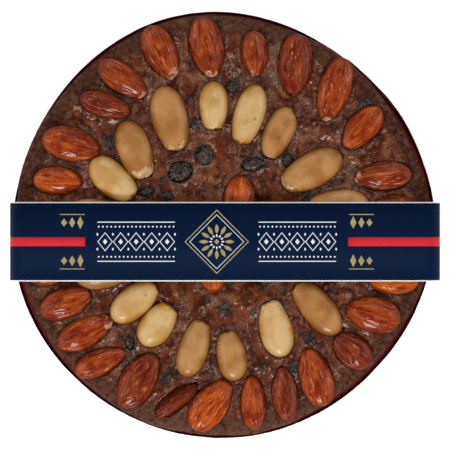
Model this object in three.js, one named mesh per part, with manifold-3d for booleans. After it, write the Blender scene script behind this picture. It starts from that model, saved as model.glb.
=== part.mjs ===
// A round fruit cake topped with whole almonds, in a paper collar and a card band.
// Millimetres, +Z up, origin under the middle of the band, on the surface that the cake stands on.

import * as THREE from 'three';
import { mergeVertices } from 'three/addons/utils/BufferGeometryUtils.js';
import Module from 'manifold-3d';

const wasm = await Module();
wasm.setup();

// Driving dimensions
const GAP = 0.3; // clearance between pieces that touch

const COLLAR = { // the outline seen from above is the collar's top edge
  radius: 88.9,
  centre: [-1.2, -0.5],
  lobes: [ // unevenness of a baked round: lobe count, height, direction in degrees
    { count: 2, height: 0.4, direction: 97 },
    { count: 3, height: 0.8, direction: -12 },
    { count: 4, height: 0.65, direction: 8 },
  ],
  paper: 0.35,
  flare: 0.8, // how far the top leans out from the cake
  foldHeight: 30,
  topHeight: 39.5,
  seamStart: 34, // degrees
  overlap: 19, // degrees
  rampDegrees: 14,
  steps: 60,
};

const CAKE = {
  sideGap: COLLAR.paper + COLLAR.flare + GAP, // from the collar's top edge in to the cake's side
  shoulder: 6, // radius of the rounded top edge
  topHeight: 42.5, // where the shoulder meets the top
  crown: 1.2, // how much higher the middle is
  footRadius: 2,
  grid: 20, // cells across the top
  shoulderSteps: 3,
};

const CRAG = { // relief of the rough glazed top
  height: 0.75,
  waves: 14,
  shortest: 11,
  longest: 30,
  edgeFade: 9, // the crags die out this far before the shoulder
  seed: 11,
};

const BAND = {
  width: 33.3,
  centreY: -7,
  span: 180.6,
  card: 0.4,
  topHeight: 50.1,
  topCorner: 6,
  footCorner: 1.2,
  cornerSteps: 3,
};

const NUT = {
  thickness: 8.4,
  proud: 4.7, // how far a nut stands out of the cake
  proudSpread: 0.4,
  tiltSpread: 4, // degrees
  widest: -0.12, // place of the widest section, from -1 at the root end to 1 at the tip
  places: [-0.88, -0.45, 0.1, 0.6, 0.94], // where its sections stand
  tipRounding: 0.1, // share of the tip side that rounds over
  sides: 8,
  seed: 5,
};

// How a nut narrows towards its tip: the skins keep a narrow tip, peeled nuts a broad one
const SKIN_TIP = { taper: 0.85, power: 1.9 };
const BLANCHED_TIP = { taper: 0.62, power: 2.2 };

// Every nut as it lies: middle x, y, the direction of its tip in degrees, length, width, roll in degrees
const SKIN_NUTS = [
  [-70.0, 18.6, -4, 21.0, 12.6],
  [-64.5, 33.9, -13, 25.2, 15.0],
  [-50.1, 50.3, -17, 23.0, 11.4],
  [-42.8, 61.2, -35, 24.4, 13.0],
  [-26.9, 72.3, -64, 24.8, 14.7],
  [-7.6, 74.2, -79, 26.9, 15.5],
  [12.4, 71.7, -87, 19.7, 12.2],
  [29.4, 67.1, -96, 26.5, 15.5],
  [45.8, 56.8, -107, 28.1, 14.3],
  [57.4, 40.6, -133, 22.7, 13.9],
  [66.2, 20.4, 185, 24.8, 13.2],
  [69.8, 6.8, 183, 19.8, 12.2],
  [71.6, -8.3, 178, 22.0, 13.2],
  [70.4, -23.0, 178, 22.0, 13.0],
  [62.0, -37.5, 167, 23.9, 15.8],
  [53.3, -52.6, 140, 19.3, 14.7],
  [38.0, -63.6, 107, 26.0, 14.7],
  [25.2, -70.7, 97, 23.9, 12.0],
  [11.8, -74.5, 94, 23.5, 11.5],
  [-5.9, -75.5, 53, 25.4, 15.4],
  [-20.2, -73.4, 38, 23.0, 12.4, 74],
  [-36.3, -65.0, 57, 26.9, 16.2],
  [-52.1, -57.5, 24, 23.5, 11.8],
  [-58.6, -45.1, 25, 25.6, 13.6],
  [-66.6, -32.7, 20, 23.1, 13.7],
  [-71.6, -18.9, 18, 22.9, 12.4],
  [-73.6, -1.6, 0, 22.0, 12.8],
  [5.5, 9.1, -97, 23.5, 13.9],
  [-5.0, -16.7, 90, 23.5, 13.4],
  [-19.7, -0.6, -5, 23.0, 13.0],
  [19.7, -6.4, 180, 23.0, 13.0],
];

const BLANCHED_NUTS = [
  [-54.3, 4.4, -5, 23.8, 13.2],
  [-47.2, 19.2, -42, 23.8, 14.3],
  [-38.0, 31.6, -70, 25.5, 14.3],
  [-23.1, 44.8, -76, 28.1, 15.5],
  [-4.8, 50.0, -90, 20.6, 12.4],
  [10.1, 46.3, -107, 26.0, 13.2],
  [22.5, 38.7, -114, 23.9, 13.2],
  [36.5, 23.0, -152, 28.0, 15.0],
  [47.6, 7.8, 184, 26.0, 14.5],
  [47.4, -7.9, 176, 23.0, 13.5],
  [38.7, -34.8, 131, 27.8, 13.9],
  [21.4, -43.8, 102, 25.2, 14.3],
  [2.7, -54.9, 100, 21.4, 13.0],
  [-13.2, -51.8, 73, 24.8, 13.0],
  [-28.5, -42.0, 54, 20.6, 13.9],
  [-38.2, -32.2, 39, 23.5, 13.5],
  [-51.5, -20.5, 8, 23.0, 13.0],
];

const RAISIN = { proud: 2.4, rings: 3, sides: 8, wrinkle: 0.16, seed: 23 };

// The fruits as large as berries: middle x, y, direction in degrees, length, width, height
const RAISINS = [
  [-18.7, 22.1, 20, 11.3, 10.1, 6.5],
  [11.8, 25.5, 10, 10.9, 6.2, 5.2],
  [-8.8, 29.3, 60, 8.4, 8.0, 5.5],
  [2.9, 58.2, 0, 6.2, 5.6, 5.0],
  [-32.8, 14.1, 15, 6.9, 4.9, 4.5],
  [26.4, 27.4, 80, 5.9, 5.4, 4.8],
  [-39.8, -49.6, -70, 6.2, 4.6, 4.6],
  [43.6, -25.3, 40, 6.2, 4.8, 4.4],
];

// Small currants baked into the crust: middle x, y
const CURRANT = { length: 5.2, width: 4.2, height: 3.4, proud: 1.3, rings: 3, sides: 6, wrinkle: 0.1 };
const CURRANTS = [
  [-12.6, 42.3], [59.2, 51.3], [-48.8, 34.6], [-24.4, 12.0], [35.0, 12.6], [-0.2, -35.2],
  [36.1, -48.9], [-24.2, -63.9], [28.9, -61.2], [-8.9, 16.7], [1.6, 28.2],
];

// Colours
const material = (color, roughness) => new THREE.MeshStandardMaterial({ color, roughness, metalness: 0 });
const CRUST = material(0x3b2219, 0.45);
const NUT_SKIN = material(0xa2501e, 0.4);
const BLANCHED = material(0xcda56e, 0.45);
const DRIED_FRUIT = material(0x1c1212, 0.35);
const COLLAR_PAPER = material(0x3a1015, 0.55);
const BAND_CARD = material(0x081a33, 0.5);

// Small helpers
const radians = THREE.MathUtils.degToRad;
const between = THREE.MathUtils.lerp;

function seededRandom(seed) {
  let state = seed;
  return () => {
    state = (state * 1664525 + 1013904223) % 4294967296;
    return state / 4294967296;
  };
}

function makeGeometry(points, triangles) {
  const geometry = new THREE.BufferGeometry();
  geometry.setAttribute('position', new THREE.Float32BufferAttribute(points.flat(), 3));
  geometry.setIndex(triangles.flat());
  return geometry;
}

// Joins rings of points, from a first pole to a last one, into one closed skin
function skinOver(firstPole, rings, lastPole) {
  const points = [firstPole, ...rings.flat(), lastPole];
  const sides = rings[0].length;
  const at = (ring, side) => 1 + ring * sides + (side % sides);
  const triangles = [];
  for (let side = 0; side < sides; side += 1) {
    triangles.push([0, at(0, side + 1), at(0, side)]);
    triangles.push([points.length - 1, at(rings.length - 1, side), at(rings.length - 1, side + 1)]);
    for (let ring = 0; ring < rings.length - 1; ring += 1) {
      triangles.push([at(ring, side), at(ring, side + 1), at(ring + 1, side + 1)]);
      triangles.push([at(ring, side), at(ring + 1, side + 1), at(ring + 1, side)]);
    }
  }
  return makeGeometry(points, triangles);
}

function toSolid(geometry) {
  const bare = geometry.clone();
  bare.deleteAttribute('normal');
  bare.deleteAttribute('uv');
  const merged = mergeVertices(bare);
  return new wasm.Manifold(new wasm.Mesh({
    numProp: 3,
    vertProperties: new Float32Array(merged.attributes.position.array),
    triVerts: new Uint32Array(merged.index.array),
  }));
}

function toGeometry(solid) {
  const mesh = solid.getMesh();
  const geometry = new THREE.BufferGeometry();
  geometry.setAttribute('position', new THREE.BufferAttribute(mesh.vertProperties, 3));
  geometry.setIndex(new THREE.BufferAttribute(mesh.triVerts, 1));
  return geometry;
}

// The outline
function outlineRadius(angle) {
  return COLLAR.lobes.reduce(
    (radius, lobe) => radius + lobe.height * Math.cos(lobe.count * (angle - radians(lobe.direction))),
    COLLAR.radius,
  );
}

function outlinePoint(angle, inset, z) {
  const radius = outlineRadius(angle) - inset;
  return [COLLAR.centre[0] + radius * Math.cos(angle), COLLAR.centre[1] + radius * Math.sin(angle), z];
}

// The top surface, with its crags
const footHeight = BAND.card + GAP;
const cragRandom = seededRandom(CRAG.seed);
const cragWaves = Array.from({ length: CRAG.waves }, () => {
  const direction = cragRandom() * 2 * Math.PI;
  const turns = (2 * Math.PI) / between(CRAG.shortest, CRAG.longest, cragRandom());
  return { x: turns * Math.cos(direction), y: turns * Math.sin(direction), shift: cragRandom() * 2 * Math.PI };
});

function cragHeight(x, y) {
  const sum = cragWaves.reduce((total, wave) => total + Math.sin(wave.x * x + wave.y * y + wave.shift), 0);
  return (CRAG.height * sum) / Math.sqrt(CRAG.waves);
}

function topHeight(x, y) {
  const dx = x - COLLAR.centre[0];
  const dy = y - COLLAR.centre[1];
  const edge = outlineRadius(Math.atan2(dy, dx)) - CAKE.sideGap - CAKE.shoulder;
  const distance = Math.hypot(dx, dy);
  const fade = THREE.MathUtils.smoothstep(edge - distance, 0, CRAG.edgeFade);
  return CAKE.topHeight + CAKE.crown * Math.max(0, 1 - (distance / edge) ** 2) + fade * cragHeight(x, y);
}

// A grid cell corner moved on to a disc, so that the cells stay about the same size all over
function discPoint(column, row) {
  const u = (2 * column) / CAKE.grid - 1;
  const v = (2 * row) / CAKE.grid - 1;
  if (u === 0 && v === 0) return { angle: 0, share: 0 };
  if (Math.abs(u) > Math.abs(v)) {
    return { angle: (Math.PI / 4) * (v / u) + (u < 0 ? Math.PI : 0), share: Math.abs(u) };
  }
  return { angle: Math.PI / 2 - (Math.PI / 4) * (u / v) + (v < 0 ? Math.PI : 0), share: Math.abs(v) };
}

function cakeGeometry() {
  const size = CAKE.grid + 1;
  const points = [];
  for (let row = 0; row < size; row += 1) {
    for (let column = 0; column < size; column += 1) {
      const { angle, share } = discPoint(column, row);
      const radius = share * (outlineRadius(angle) - CAKE.sideGap - CAKE.shoulder);
      const x = COLLAR.centre[0] + radius * Math.cos(angle);
      const y = COLLAR.centre[1] + radius * Math.sin(angle);
      points.push([x, y, topHeight(x, y)]);
    }
  }
  const triangles = [];
  const cell = (column, row) => row * size + column;
  for (let row = 0; row < CAKE.grid; row += 1) {
    for (let column = 0; column < CAKE.grid; column += 1) {
      const corners = [
        cell(column, row), cell(column + 1, row), cell(column + 1, row + 1), cell(column, row + 1),
      ];
      const turned = (column < CAKE.grid / 2) === (row < CAKE.grid / 2);
      const [a, b, c, d] = turned ? corners : [corners[1], corners[2], corners[3], corners[0]];
      triangles.push([a, b, d], [b, c, d]);
    }
  }

  // The rim of the grid, anticlockwise, continues down over the shoulder and the side
  let rim = [];
  for (let step = 0; step < CAKE.grid; step += 1) rim.push([step, 0]);
  for (let step = 0; step < CAKE.grid; step += 1) rim.push([CAKE.grid, step]);
  for (let step = 0; step < CAKE.grid; step += 1) rim.push([CAKE.grid - step, CAKE.grid]);
  for (let step = 0; step < CAKE.grid; step += 1) rim.push([0, CAKE.grid - step]);
  const angles = rim.map(([column, row]) => discPoint(column, row).angle);
  rim = rim.map(([column, row]) => cell(column, row));

  const levels = [];
  for (let step = 1; step <= CAKE.shoulderSteps; step += 1) {
    const turn = (Math.PI / 2) * (step / CAKE.shoulderSteps);
    levels.push({
      inset: CAKE.sideGap + CAKE.shoulder * (1 - Math.sin(turn)),
      z: CAKE.topHeight - CAKE.shoulder * (1 - Math.cos(turn)),
    });
  }
  levels.push({ inset: CAKE.sideGap, z: footHeight + CAKE.footRadius });
  levels.push({ inset: CAKE.sideGap + CAKE.footRadius, z: footHeight });
  levels.forEach(({ inset, z }) => {
    const start = points.length;
    const next = angles.map((angle, index) => {
      points.push(outlinePoint(angle, inset, z));
      return start + index;
    });
    next.forEach((lower, index) => {
      const after = (index + 1) % next.length;
      triangles.push([lower, next[after], rim[index]], [next[after], rim[after], rim[index]]);
    });
    rim = next;
  });
  const middle = points.length;
  points.push([...COLLAR.centre, footHeight]);
  rim.forEach((corner, index) => triangles.push([middle, rim[(index + 1) % rim.length], corner]));
  return makeGeometry(points, triangles);
}

// An almond: round at its root end, narrowing to a blunt tip, lens-shaped across. Its tip points along +X
function nutSection(place, tip) {
  if (place < NUT.widest) {
    const share = (NUT.widest - place) / (NUT.widest + 1);
    return Math.sqrt(1 - share ** 2.2);
  }
  const share = (place - NUT.widest) / (1 - NUT.widest);
  const over = Math.max(0, (share - 1 + NUT.tipRounding) / NUT.tipRounding);
  return (1 - tip.taper * share ** tip.power) * Math.sqrt(1 - over ** 2);
}

function nutGeometry(length, width, tip, grow) {
  const half = length / 2 + grow;
  const rings = NUT.places.map((place) => {
    const girth = nutSection(place, tip);
    return Array.from({ length: NUT.sides }, (unused, side) => {
      const turn = (2 * Math.PI * side) / NUT.sides;
      const across = (width / 2 + grow) * girth * Math.cos(turn);
      const up = (NUT.thickness / 2 + grow) * girth ** 0.8 * Math.sin(turn);
      return [half * place, across, up];
    });
  });
  return skinOver([-half, 0, 0], rings, [half, 0, 0]);
}

// A dried fruit: a flattened round with lengthwise wrinkles
function fruitGeometry(length, width, height, shape, wrinkles, grow) {
  const rings = [];
  for (let ring = 1; ring <= shape.rings; ring += 1) {
    const turnAlong = (Math.PI * ring) / (shape.rings + 1);
    rings.push(Array.from({ length: shape.sides }, (unused, side) => {
      const turn = (2 * Math.PI * side) / shape.sides;
      const girth = Math.sin(turnAlong) * (1 - shape.wrinkle * wrinkles[side]);
      return [
        -(length / 2 + grow) * Math.cos(turnAlong),
        (width / 2 + grow) * girth * Math.cos(turn),
        (height / 2 + grow) * girth * Math.sin(turn),
      ];
    }));
  }
  return skinOver([-length / 2 - grow, 0, 0], rings, [length / 2 + grow, 0, 0]);
}

function place(mesh, x, y, z, turns) {
  mesh.position.set(x, y, z);
  mesh.rotation.set(radians(turns.roll), radians(turns.pitch), radians(turns.heading), 'ZYX');
  mesh.updateMatrixWorld();
}

// Each topping comes with the cutter that makes its pit, the same shape grown by the gap
function addTopping(name, skin, makeShape, x, y, z, turns) {
  const mesh = new THREE.Mesh(makeShape(0), skin);
  mesh.name = name;
  place(mesh, x, y, z, turns);
  const cutter = makeShape(GAP);
  cutter.applyMatrix4(mesh.matrixWorld);
  return { mesh, cutter };
}

function makeNuts(list, baseName, skin, tip, random) {
  return list.map(([x, y, heading, length, width, roll = 0], index) => {
    const lean = () => NUT.tiltSpread * (2 * random() - 1);
    const turns = { heading, pitch: lean(), roll: roll + lean() };
    const rise = Math.hypot(
      (NUT.thickness / 2) * Math.cos(radians(turns.roll)),
      (width / 2) * Math.sin(radians(turns.roll)),
    );
    const proud = NUT.proud + NUT.proudSpread * (2 * random() - 1);
    const name = `${baseName}_${String(index + 1).padStart(2, '0')}`;
    const makeShape = (grow) => nutGeometry(length, width, tip, grow);
    return addTopping(name, skin, makeShape, x, y, topHeight(x, y) + proud - rise, turns);
  });
}

function wrinklesFor(shape, random) {
  return Array.from({ length: shape.sides }, () => random());
}

function makeRaisins(random) {
  return RAISINS.map(([x, y, heading, length, width, height], index) => {
    const wrinkles = wrinklesFor(RAISIN, random);
    const makeShape = (grow) => fruitGeometry(length, width, height, RAISIN, wrinkles, grow);
    const z = topHeight(x, y) + RAISIN.proud - height / 2;
    return addTopping(`raisin_${index + 1}`, DRIED_FRUIT, makeShape, x, y, z, { heading, pitch: 0, roll: 0 });
  });
}

function currantSolids(random) {
  return CURRANTS.map(([x, y]) => {
    const wrinkles = wrinklesFor(CURRANT, random);
    const geometry = fruitGeometry(CURRANT.length, CURRANT.width, CURRANT.height, CURRANT, wrinkles, 0);
    geometry.rotateZ(random() * Math.PI);
    geometry.translate(x, y, topHeight(x, y) + CURRANT.proud - CURRANT.height / 2);
    return toSolid(geometry);
  });
}

function makeCake(toppings, currants) {
  let solid = currants.reduce((whole, currant) => whole.add(currant), toSolid(cakeGeometry()));
  toppings.forEach(({ cutter }) => {
    solid = solid.subtract(toSolid(cutter));
  });
  const mesh = new THREE.Mesh(toGeometry(solid), CRUST);
  mesh.name = 'cake';
  return mesh;
}

// The paper collar: a strip wound once round the cake, its outer end lying over its inner end
function makeCollar() {
  const total = 360 + COLLAR.overlap;
  const lift = COLLAR.paper + GAP;
  const levels = [
    { inset: CAKE.sideGap - GAP, z: footHeight },
    { inset: CAKE.sideGap - GAP, z: COLLAR.foldHeight },
    { inset: COLLAR.paper, z: COLLAR.topHeight },
  ];
  const profile = [
    ...levels,
    ...levels.map(({ inset, z }) => ({ inset: inset - COLLAR.paper, z })).reverse(),
  ];
  const points = [];
  for (let step = 0; step <= COLLAR.steps; step += 1) {
    const turned = (total * step) / COLLAR.steps;
    const rise = THREE.MathUtils.smoothstep(turned, 360 - COLLAR.rampDegrees, 360) * lift;
    const angle = radians(COLLAR.seamStart + turned);
    profile.forEach(({ inset, z }) => points.push(outlinePoint(angle, inset - rise, z)));
  }
  const count = profile.length;
  const triangles = [];
  for (let step = 0; step < COLLAR.steps; step += 1) {
    for (let corner = 0; corner < count; corner += 1) {
      const here = step * count + corner;
      const up = step * count + ((corner + 1) % count);
      triangles.push([here, up + count, here + count], [here, up, up + count]);
    }
  }
  const last = COLLAR.steps * count;
  for (let corner = 0; corner < levels.length - 1; corner += 1) {
    const far = count - 1 - corner;
    triangles.push([corner, far, far - 1], [corner, far - 1, corner + 1]);
    triangles.push([last + corner, last + far - 1, last + far], [last + corner, last + corner + 1, last + far - 1]);
  }
  const mesh = new THREE.Mesh(makeGeometry(points, triangles), COLLAR_PAPER);
  mesh.name = 'collar';
  return mesh;
}

// The card band: a closed loop over the top, down both sides and under the cake
function bandOutline(path, inset) {
  const half = BAND.span / 2 - inset;
  const low = inset;
  const high = BAND.topHeight - inset;
  const foot = BAND.footCorner - inset;
  const corner = BAND.topCorner - inset;
  path.moveTo(-half + foot, low);
  path.lineTo(half - foot, low);
  path.absarc(half - foot, low + foot, foot, -Math.PI / 2, 0, false);
  path.lineTo(half, high - corner);
  path.absarc(half - corner, high - corner, corner, 0, Math.PI / 2, false);
  path.lineTo(-half + corner, high);
  path.absarc(-half + corner, high - corner, corner, Math.PI / 2, Math.PI, false);
  path.lineTo(-half, low + foot);
  path.absarc(-half + foot, low + foot, foot, Math.PI, 1.5 * Math.PI, false);
  return path;
}

function makeBand() {
  const shape = bandOutline(new THREE.Shape(), 0);
  shape.holes.push(bandOutline(new THREE.Path(), BAND.card));
  const geometry = new THREE.ExtrudeGeometry(shape, {
    depth: BAND.width,
    bevelEnabled: false,
    curveSegments: BAND.cornerSteps,
  });
  geometry.rotateX(Math.PI / 2);
  const mesh = new THREE.Mesh(geometry, BAND_CARD);
  mesh.name = 'band';
  mesh.position.set(0, BAND.centreY + BAND.width / 2, 0);
  return mesh;
}

// The whole
const nutRandom = seededRandom(NUT.seed);
const fruitRandom = seededRandom(RAISIN.seed);
const toppings = [
  ...makeNuts(SKIN_NUTS, 'skin_almond', NUT_SKIN, SKIN_TIP, nutRandom),
  ...makeNuts(BLANCHED_NUTS, 'blanched_almond', BLANCHED, BLANCHED_TIP, nutRandom),
  ...makeRaisins(fruitRandom),
];

const fruitCake = new THREE.Group();
fruitCake.add(makeCake(toppings, currantSolids(fruitRandom)), makeCollar(), makeBand());
toppings.forEach(({ mesh }) => fruitCake.add(mesh));

export default fruitCake;
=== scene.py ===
"""A dark fruit cake with rings of almonds, in a paper collar and a printed card band.

Shapes are worked out in millimetres and turned to metres when a piece is made.
"""

import math
from functools import partial

import bpy
import numpy as np
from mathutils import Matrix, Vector


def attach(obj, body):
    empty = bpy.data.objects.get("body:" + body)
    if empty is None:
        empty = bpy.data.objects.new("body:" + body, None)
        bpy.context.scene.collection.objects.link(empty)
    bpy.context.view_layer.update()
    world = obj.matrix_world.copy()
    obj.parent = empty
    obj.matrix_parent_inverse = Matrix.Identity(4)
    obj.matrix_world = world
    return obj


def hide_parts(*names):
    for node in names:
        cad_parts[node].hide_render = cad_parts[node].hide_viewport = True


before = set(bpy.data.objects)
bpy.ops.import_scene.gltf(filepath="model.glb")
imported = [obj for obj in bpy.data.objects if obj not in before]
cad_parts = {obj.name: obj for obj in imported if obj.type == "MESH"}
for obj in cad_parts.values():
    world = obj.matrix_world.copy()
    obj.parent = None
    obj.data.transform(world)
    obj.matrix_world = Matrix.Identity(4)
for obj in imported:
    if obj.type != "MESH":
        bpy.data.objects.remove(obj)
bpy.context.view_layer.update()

MM = 0.001
TURN = 2 * math.pi

# The outline seen from above, which is the collar's top edge
OUTLINE_RADIUS = 88.9
OUTLINE_CENTRE = (-1.2, -0.5)
OUTLINE_LOBES = ((2, 0.4, 97), (3, 0.8, -12), (4, 0.65, 8))  # count, height, direction in degrees

# The cake
SIDE_INSET = 1.45  # from the collar's top edge in to the cake's side
SHOULDER = 6.0
SHOULDER_STEPS = 9
SQUARENESS = 0.75  # below 1 the shoulder is a little squarer than a round
SIDE_SWELL = 0.85  # how far the baked edge swells towards the paper
EDGE_REACH = (  # how far the baked edge reaches out over the paper: direction in degrees, millimetres
    (0, -0.6), (20, -0.9), (36, -0.2), (47, 1.1), (62, 1.0), (74, -0.3), (105, -0.2), (125, -0.7), (138, 0.5),
    (150, 1.0), (168, 0.9), (190, -0.9), (205, -0.9), (235, 0.1), (250, 0.9), (265, -0.1), (280, 0.8),
    (300, -0.8), (320, -1.0), (334, -0.8), (345, 0.5),
)
RIM_LIGHT = (  # how pale the baked rim is: direction in degrees, 0 for dark to 1 for pale
    (20, 0.0), (90, 0.55), (150, 0.1), (215, 0.45), (272, 1.0), (315, 0.5), (340, 0.0),
)
RIM_INSIDE = (-2.0, 3.5)  # from the shoulder inward, where the dry rim turns into the glazed top
LOOSE_HEIGHTS = (37.4, 39.4)  # where the cake's edge draws back from the paper
STAIN_HEIGHTS = (39.2, 40.3)  # where the paper's dye has stained the edge
WALL_HEIGHTS = (30.5, 20.0, 10.0)
WALL_WAVE = 7.0
TOP_HEIGHT = 42.5
CROWN = 1.2
FOOT_HEIGHT = 0.75
FOOT_RADIUS = 2.0
TOP_CELLS = 284  # across the top, so about 0.6 mm each
CRAG_HEIGHT = 0.75
CRAG_WAVES = 14
CRAG_SHORTEST = 11
CRAG_LONGEST = 30
CRAG_EDGE_FADE = 9
CRAG_SEED = 11
MIDDLE_REACH = (18, 52)  # where the warmer middle of the top ends

# Almonds
NUT_WIDEST = -0.12  # place of the widest section, from -1 at the root end to 1 at the tip
NUT_MEASURED = 0.1  # place of the widest section that the frame's solid has
TIP_ROUNDING = 0.1
ROOT_POWER = 2.2  # how blunt the root end is
HEIGHT_POWER = 0.8  # below 1 an almond's height falls off later than its width
SKIN_TIP = (0.78, 2.2)  # taper and power, a little blunter than on the frame's solids
BLANCHED_TIP = (0.55, 2.4)
NUT_RINGS = 48
NUT_SIDES = 116
SKIN_RIDGE = 0.3
PEELED_RIDGE = 0.05
CHIP_DEPTH = 1.1
CHIP_START = 0.84
GRAIN_STRETCH = 6.0  # how much longer than wide the skin's grain is
GRAIN_RADIUS = 5.5
DARK_SKINS = (3, 8, 12, 16, 18, 21, 22)
BRIGHT_SKINS = (1, 14, 20, 28, 29)
PALE_NUTS = (2, 5, 6, 12, 15, 16)
TOASTED_NUTS = (3, 4, 7, 8, 11, 13, 14, 17)
PEELED_START = 50  # the peeled nuts are numbered on from here where skins and peeled nuts share a list
CHIPPED = (4, 5, 6, 7, 9, 11, 24, 53, 54, 55, 58, 62)

# Dried fruit: small ones are given by their middle x, y, and a direction in degrees
BROWN_RAISIN = 8
DUSTY_RAISIN = 3
FRUIT_RINGS = 44
FRUIT_SIDES = 72
SMALL_FRUIT_RINGS = 20
SMALL_FRUIT_SIDES = 32
CURRANT_SIZE = (5.2, 4.2, 3.4)
CURRANT_PROUD = 1.3
CURRANTS = (
    (-12.6, 42.3, 20), (59.2, 51.3, 25), (-48.8, 34.6, 110), (-24.4, 12.0, 15), (35.0, 12.6, 160),
    (-0.2, -35.2, 30), (36.1, -48.9, 120), (-24.2, -63.9, 50), (28.9, -61.2, 105),
)
SULTANA_PROUD = 0.75
SULTANA_TOPS = ((-8.9, 16.7, 70), (1.6, 28.2, 10))
PEEL_SIZE = (2.9, 2.0, 1.7)
PEEL_PROUD = 0.6
PEELS = ((4.6, -32.5, 10), (10.2, -34.6, 60))

# The glazed top
SULTANAS = (  # under the glaze: middle x, y, length, width, direction
    (-1.2, 33.6, 12.5, 7.6, 125), (-8.9, 16.2, 8.2, 7.4, 80), (8.2, 22.6, 8.2, 3.0, 160),
    (17.2, 13.6, 5.8, 4.4, 30), (12.3, 18.6, 3.6, 2.2, 120), (-18.9, -31.2, 4.8, 3.4, 60),
    (-24.3, -30.0, 3.4, 2.8, 20), (-25.2, -54.8, 5.2, 4.2, 70), (12.6, -45.3, 5.8, 4.2, 100),
    (29.9, -37.2, 4.8, 3.8, 60), (6.4, -43.6, 4.2, 3.0, 110), (-43.6, -44.3, 5.2, 3.8, 30),
    (39.6, -47.2, 4.8, 3.8, 100), (-2.1, -39.4, 6.2, 3.6, 0), (42.0, 37.6, 7.4, 4.8, 40),
)
DARK_FRUIT = (  # the same for raisins and currants
    (-26.2, 18.8, 6.0, 4.6, 60), (4.9, 30.4, 3.4, 2.4, 100), (16.4, -24.6, 7.6, 5.6, 20),
    (24.4, -25.8, 5.0, 4.0, 90), (11.8, -36.6, 5.4, 4.2, 80), (31.6, -45.8, 4.2, 3.4, 60),
    (-6.3, -60.0, 6.0, 2.6, 95), (-24.2, -64.4, 7.0, 3.4, 50), (29.2, -61.5, 6.0, 3.2, 110),
    (3.5, 62.5, 5.0, 4.4, 80), (-39.4, -52.4, 5.4, 4.0, 110), (57.0, 48.4, 8.0, 3.0, 40),
)
HALO = 3.0  # how much larger than a raisin the dark glaze round it is
CURRANT_HALO = (8.6, 6.8)  # length and width of the dark glaze round a currant
LIP_HEIGHT = 0.8  # how far the glaze climbs a nut
LIP_WIDTH = 1.1
LIP_WAVE = 6.0
CREVICE_WIDTH = 0.4  # the painted shade line where the glaze meets a nut
SUGAR_AND_HIGHLIGHT_LINE = 0.9  # how far from a nut the pale sugar and painted highlight lines are thickest
CONTACT = 0.5  # how far the crust runs in under a nut's flank before its pit starts
PIT_GAP = 0.3  # between a nut's underside and its pit
CRUMB_COUNT = 190
CRUMB_SMALLEST = 0.3
CRUMB_LARGEST = 0.8
CRUMB_RINGS = 5
CRUMB_SIDES = 8
CRUMB_SEED = 41
FOLD_SIZE = 4.4  # the glaze's folds, pores, grain and broad swells
PORE_SIZE = 2.6
GRAIN_SIZE = 1.8
SWELL_SIZE = 6.5

# The collar
PAPER = 0.35
COLLAR_FLARE = 0.75  # how far its top edge leans out
COLLAR_GAP = 0.3  # between the cake's side and the paper
COLLAR_FOLD = 30.0  # height from which it leans
COLLAR_TOP = 39.5
COLLAR_STEPS = 760
COLLAR_WAVES = 6.0  # how many cells of noise one radius of the collar spans
COLLAR_PLEATS = 24.0
SEAM_START = 34.0  # in degrees, as the next two
SEAM_OVERLAP = 19.0
SEAM_RAMP = 14.0  # over which the outer end rises on to the inner end

# The band and its print
BAND_Y = -7.0
BAND_WIDTH = 33.3
BAND_SPAN = 180.6
BAND_HEIGHT = 50.1
CARD = 0.4
BAND_TOP_CORNER = 6.0
BAND_FOOT_CORNER = 1.2
BORDER = 0.5  # bare card left white along both edges
CARD_INSET = 0.03
NAVY_INSET = 0.01
INK = 0.008
STRIPE_WIDTH = 3.8
STRIPE_ENDS = (51.6, -58.5)
PRINT_MIDDLE = (STRIPE_ENDS[0] + STRIPE_ENDS[1]) / 2
LOZENGE_SIZES = (27.0, 23.0)  # gold and white
PETALS = 12
CHAIN_START = 17.5  # from the print's middle
CHAIN_END = 50.0
CHAIN_LINKS = 5
CHAIN_BEADS = 19
BEAD_INSET = 0.6


# Numbers and noise


def srgb(code):
    """An sRGB hex colour as linear red, green, blue and alpha."""
    parts = [int(code[i : i + 2], 16) / 255 for i in (1, 3, 5)]
    linear = [p / 12.92 if p <= 0.04045 else ((p + 0.055) / 1.055) ** 2.4 for p in parts]
    return (*linear, 1.0)


def lattice_random(cell, seed):
    """A random value from 0 to 1 for each whole-number place."""
    code = cell[:, 0] * 374761393 + cell[:, 1] * 668265263 + cell[:, 2] * 1440662683 + seed * 974634777
    code &= 0xFFFFFFFF
    code = ((code ^ (code >> 13)) * 1274126177) & 0xFFFFFFFF
    return (code ^ (code >> 16)) / 0xFFFFFFFF


def smooth_noise(points, seed):
    """Smooth random values from -1 to 1 at points given in cells."""
    cell = np.floor(points).astype(np.int64)
    part = points - cell
    part = part * part * part * (part * (part * 6 - 15) + 10)
    total = np.zeros(len(points))
    for corner in range(8):
        step = np.array([corner & 1, (corner >> 1) & 1, (corner >> 2) & 1])
        weight = np.prod(np.where(step, part, 1 - part), axis=1)
        total += weight * lattice_random(cell + step, seed)
    return total * 2 - 1


def layered_noise(points, size, seed, layers=3):
    """Several sizes of smooth noise added up, the largest of the given size."""
    total = np.zeros(len(points))
    share = 1.0
    for layer in range(layers):
        total += share * smooth_noise(points / size + 17.3 * layer, seed + layer)
        share *= 0.55
        size *= 0.5
    return total


def ridged(values):
    """Turns smooth noise into thin ridges where it crosses zero."""
    return 1 - np.abs(values)


def step_between(values, low, high):
    """A smooth rise from 0 at the low value to 1 at the high one."""
    share = np.clip((values - low) / (high - low), 0, 1)
    return share * share * (3 - 2 * share)


def flat_points(x, y):
    """Points of X and Y at height 0."""
    return np.column_stack([x, y, np.zeros_like(x)])


def unit_rows(directions):
    """Directions with their length made 1."""
    return directions / np.linalg.norm(directions, axis=1)[:, None]


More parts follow.
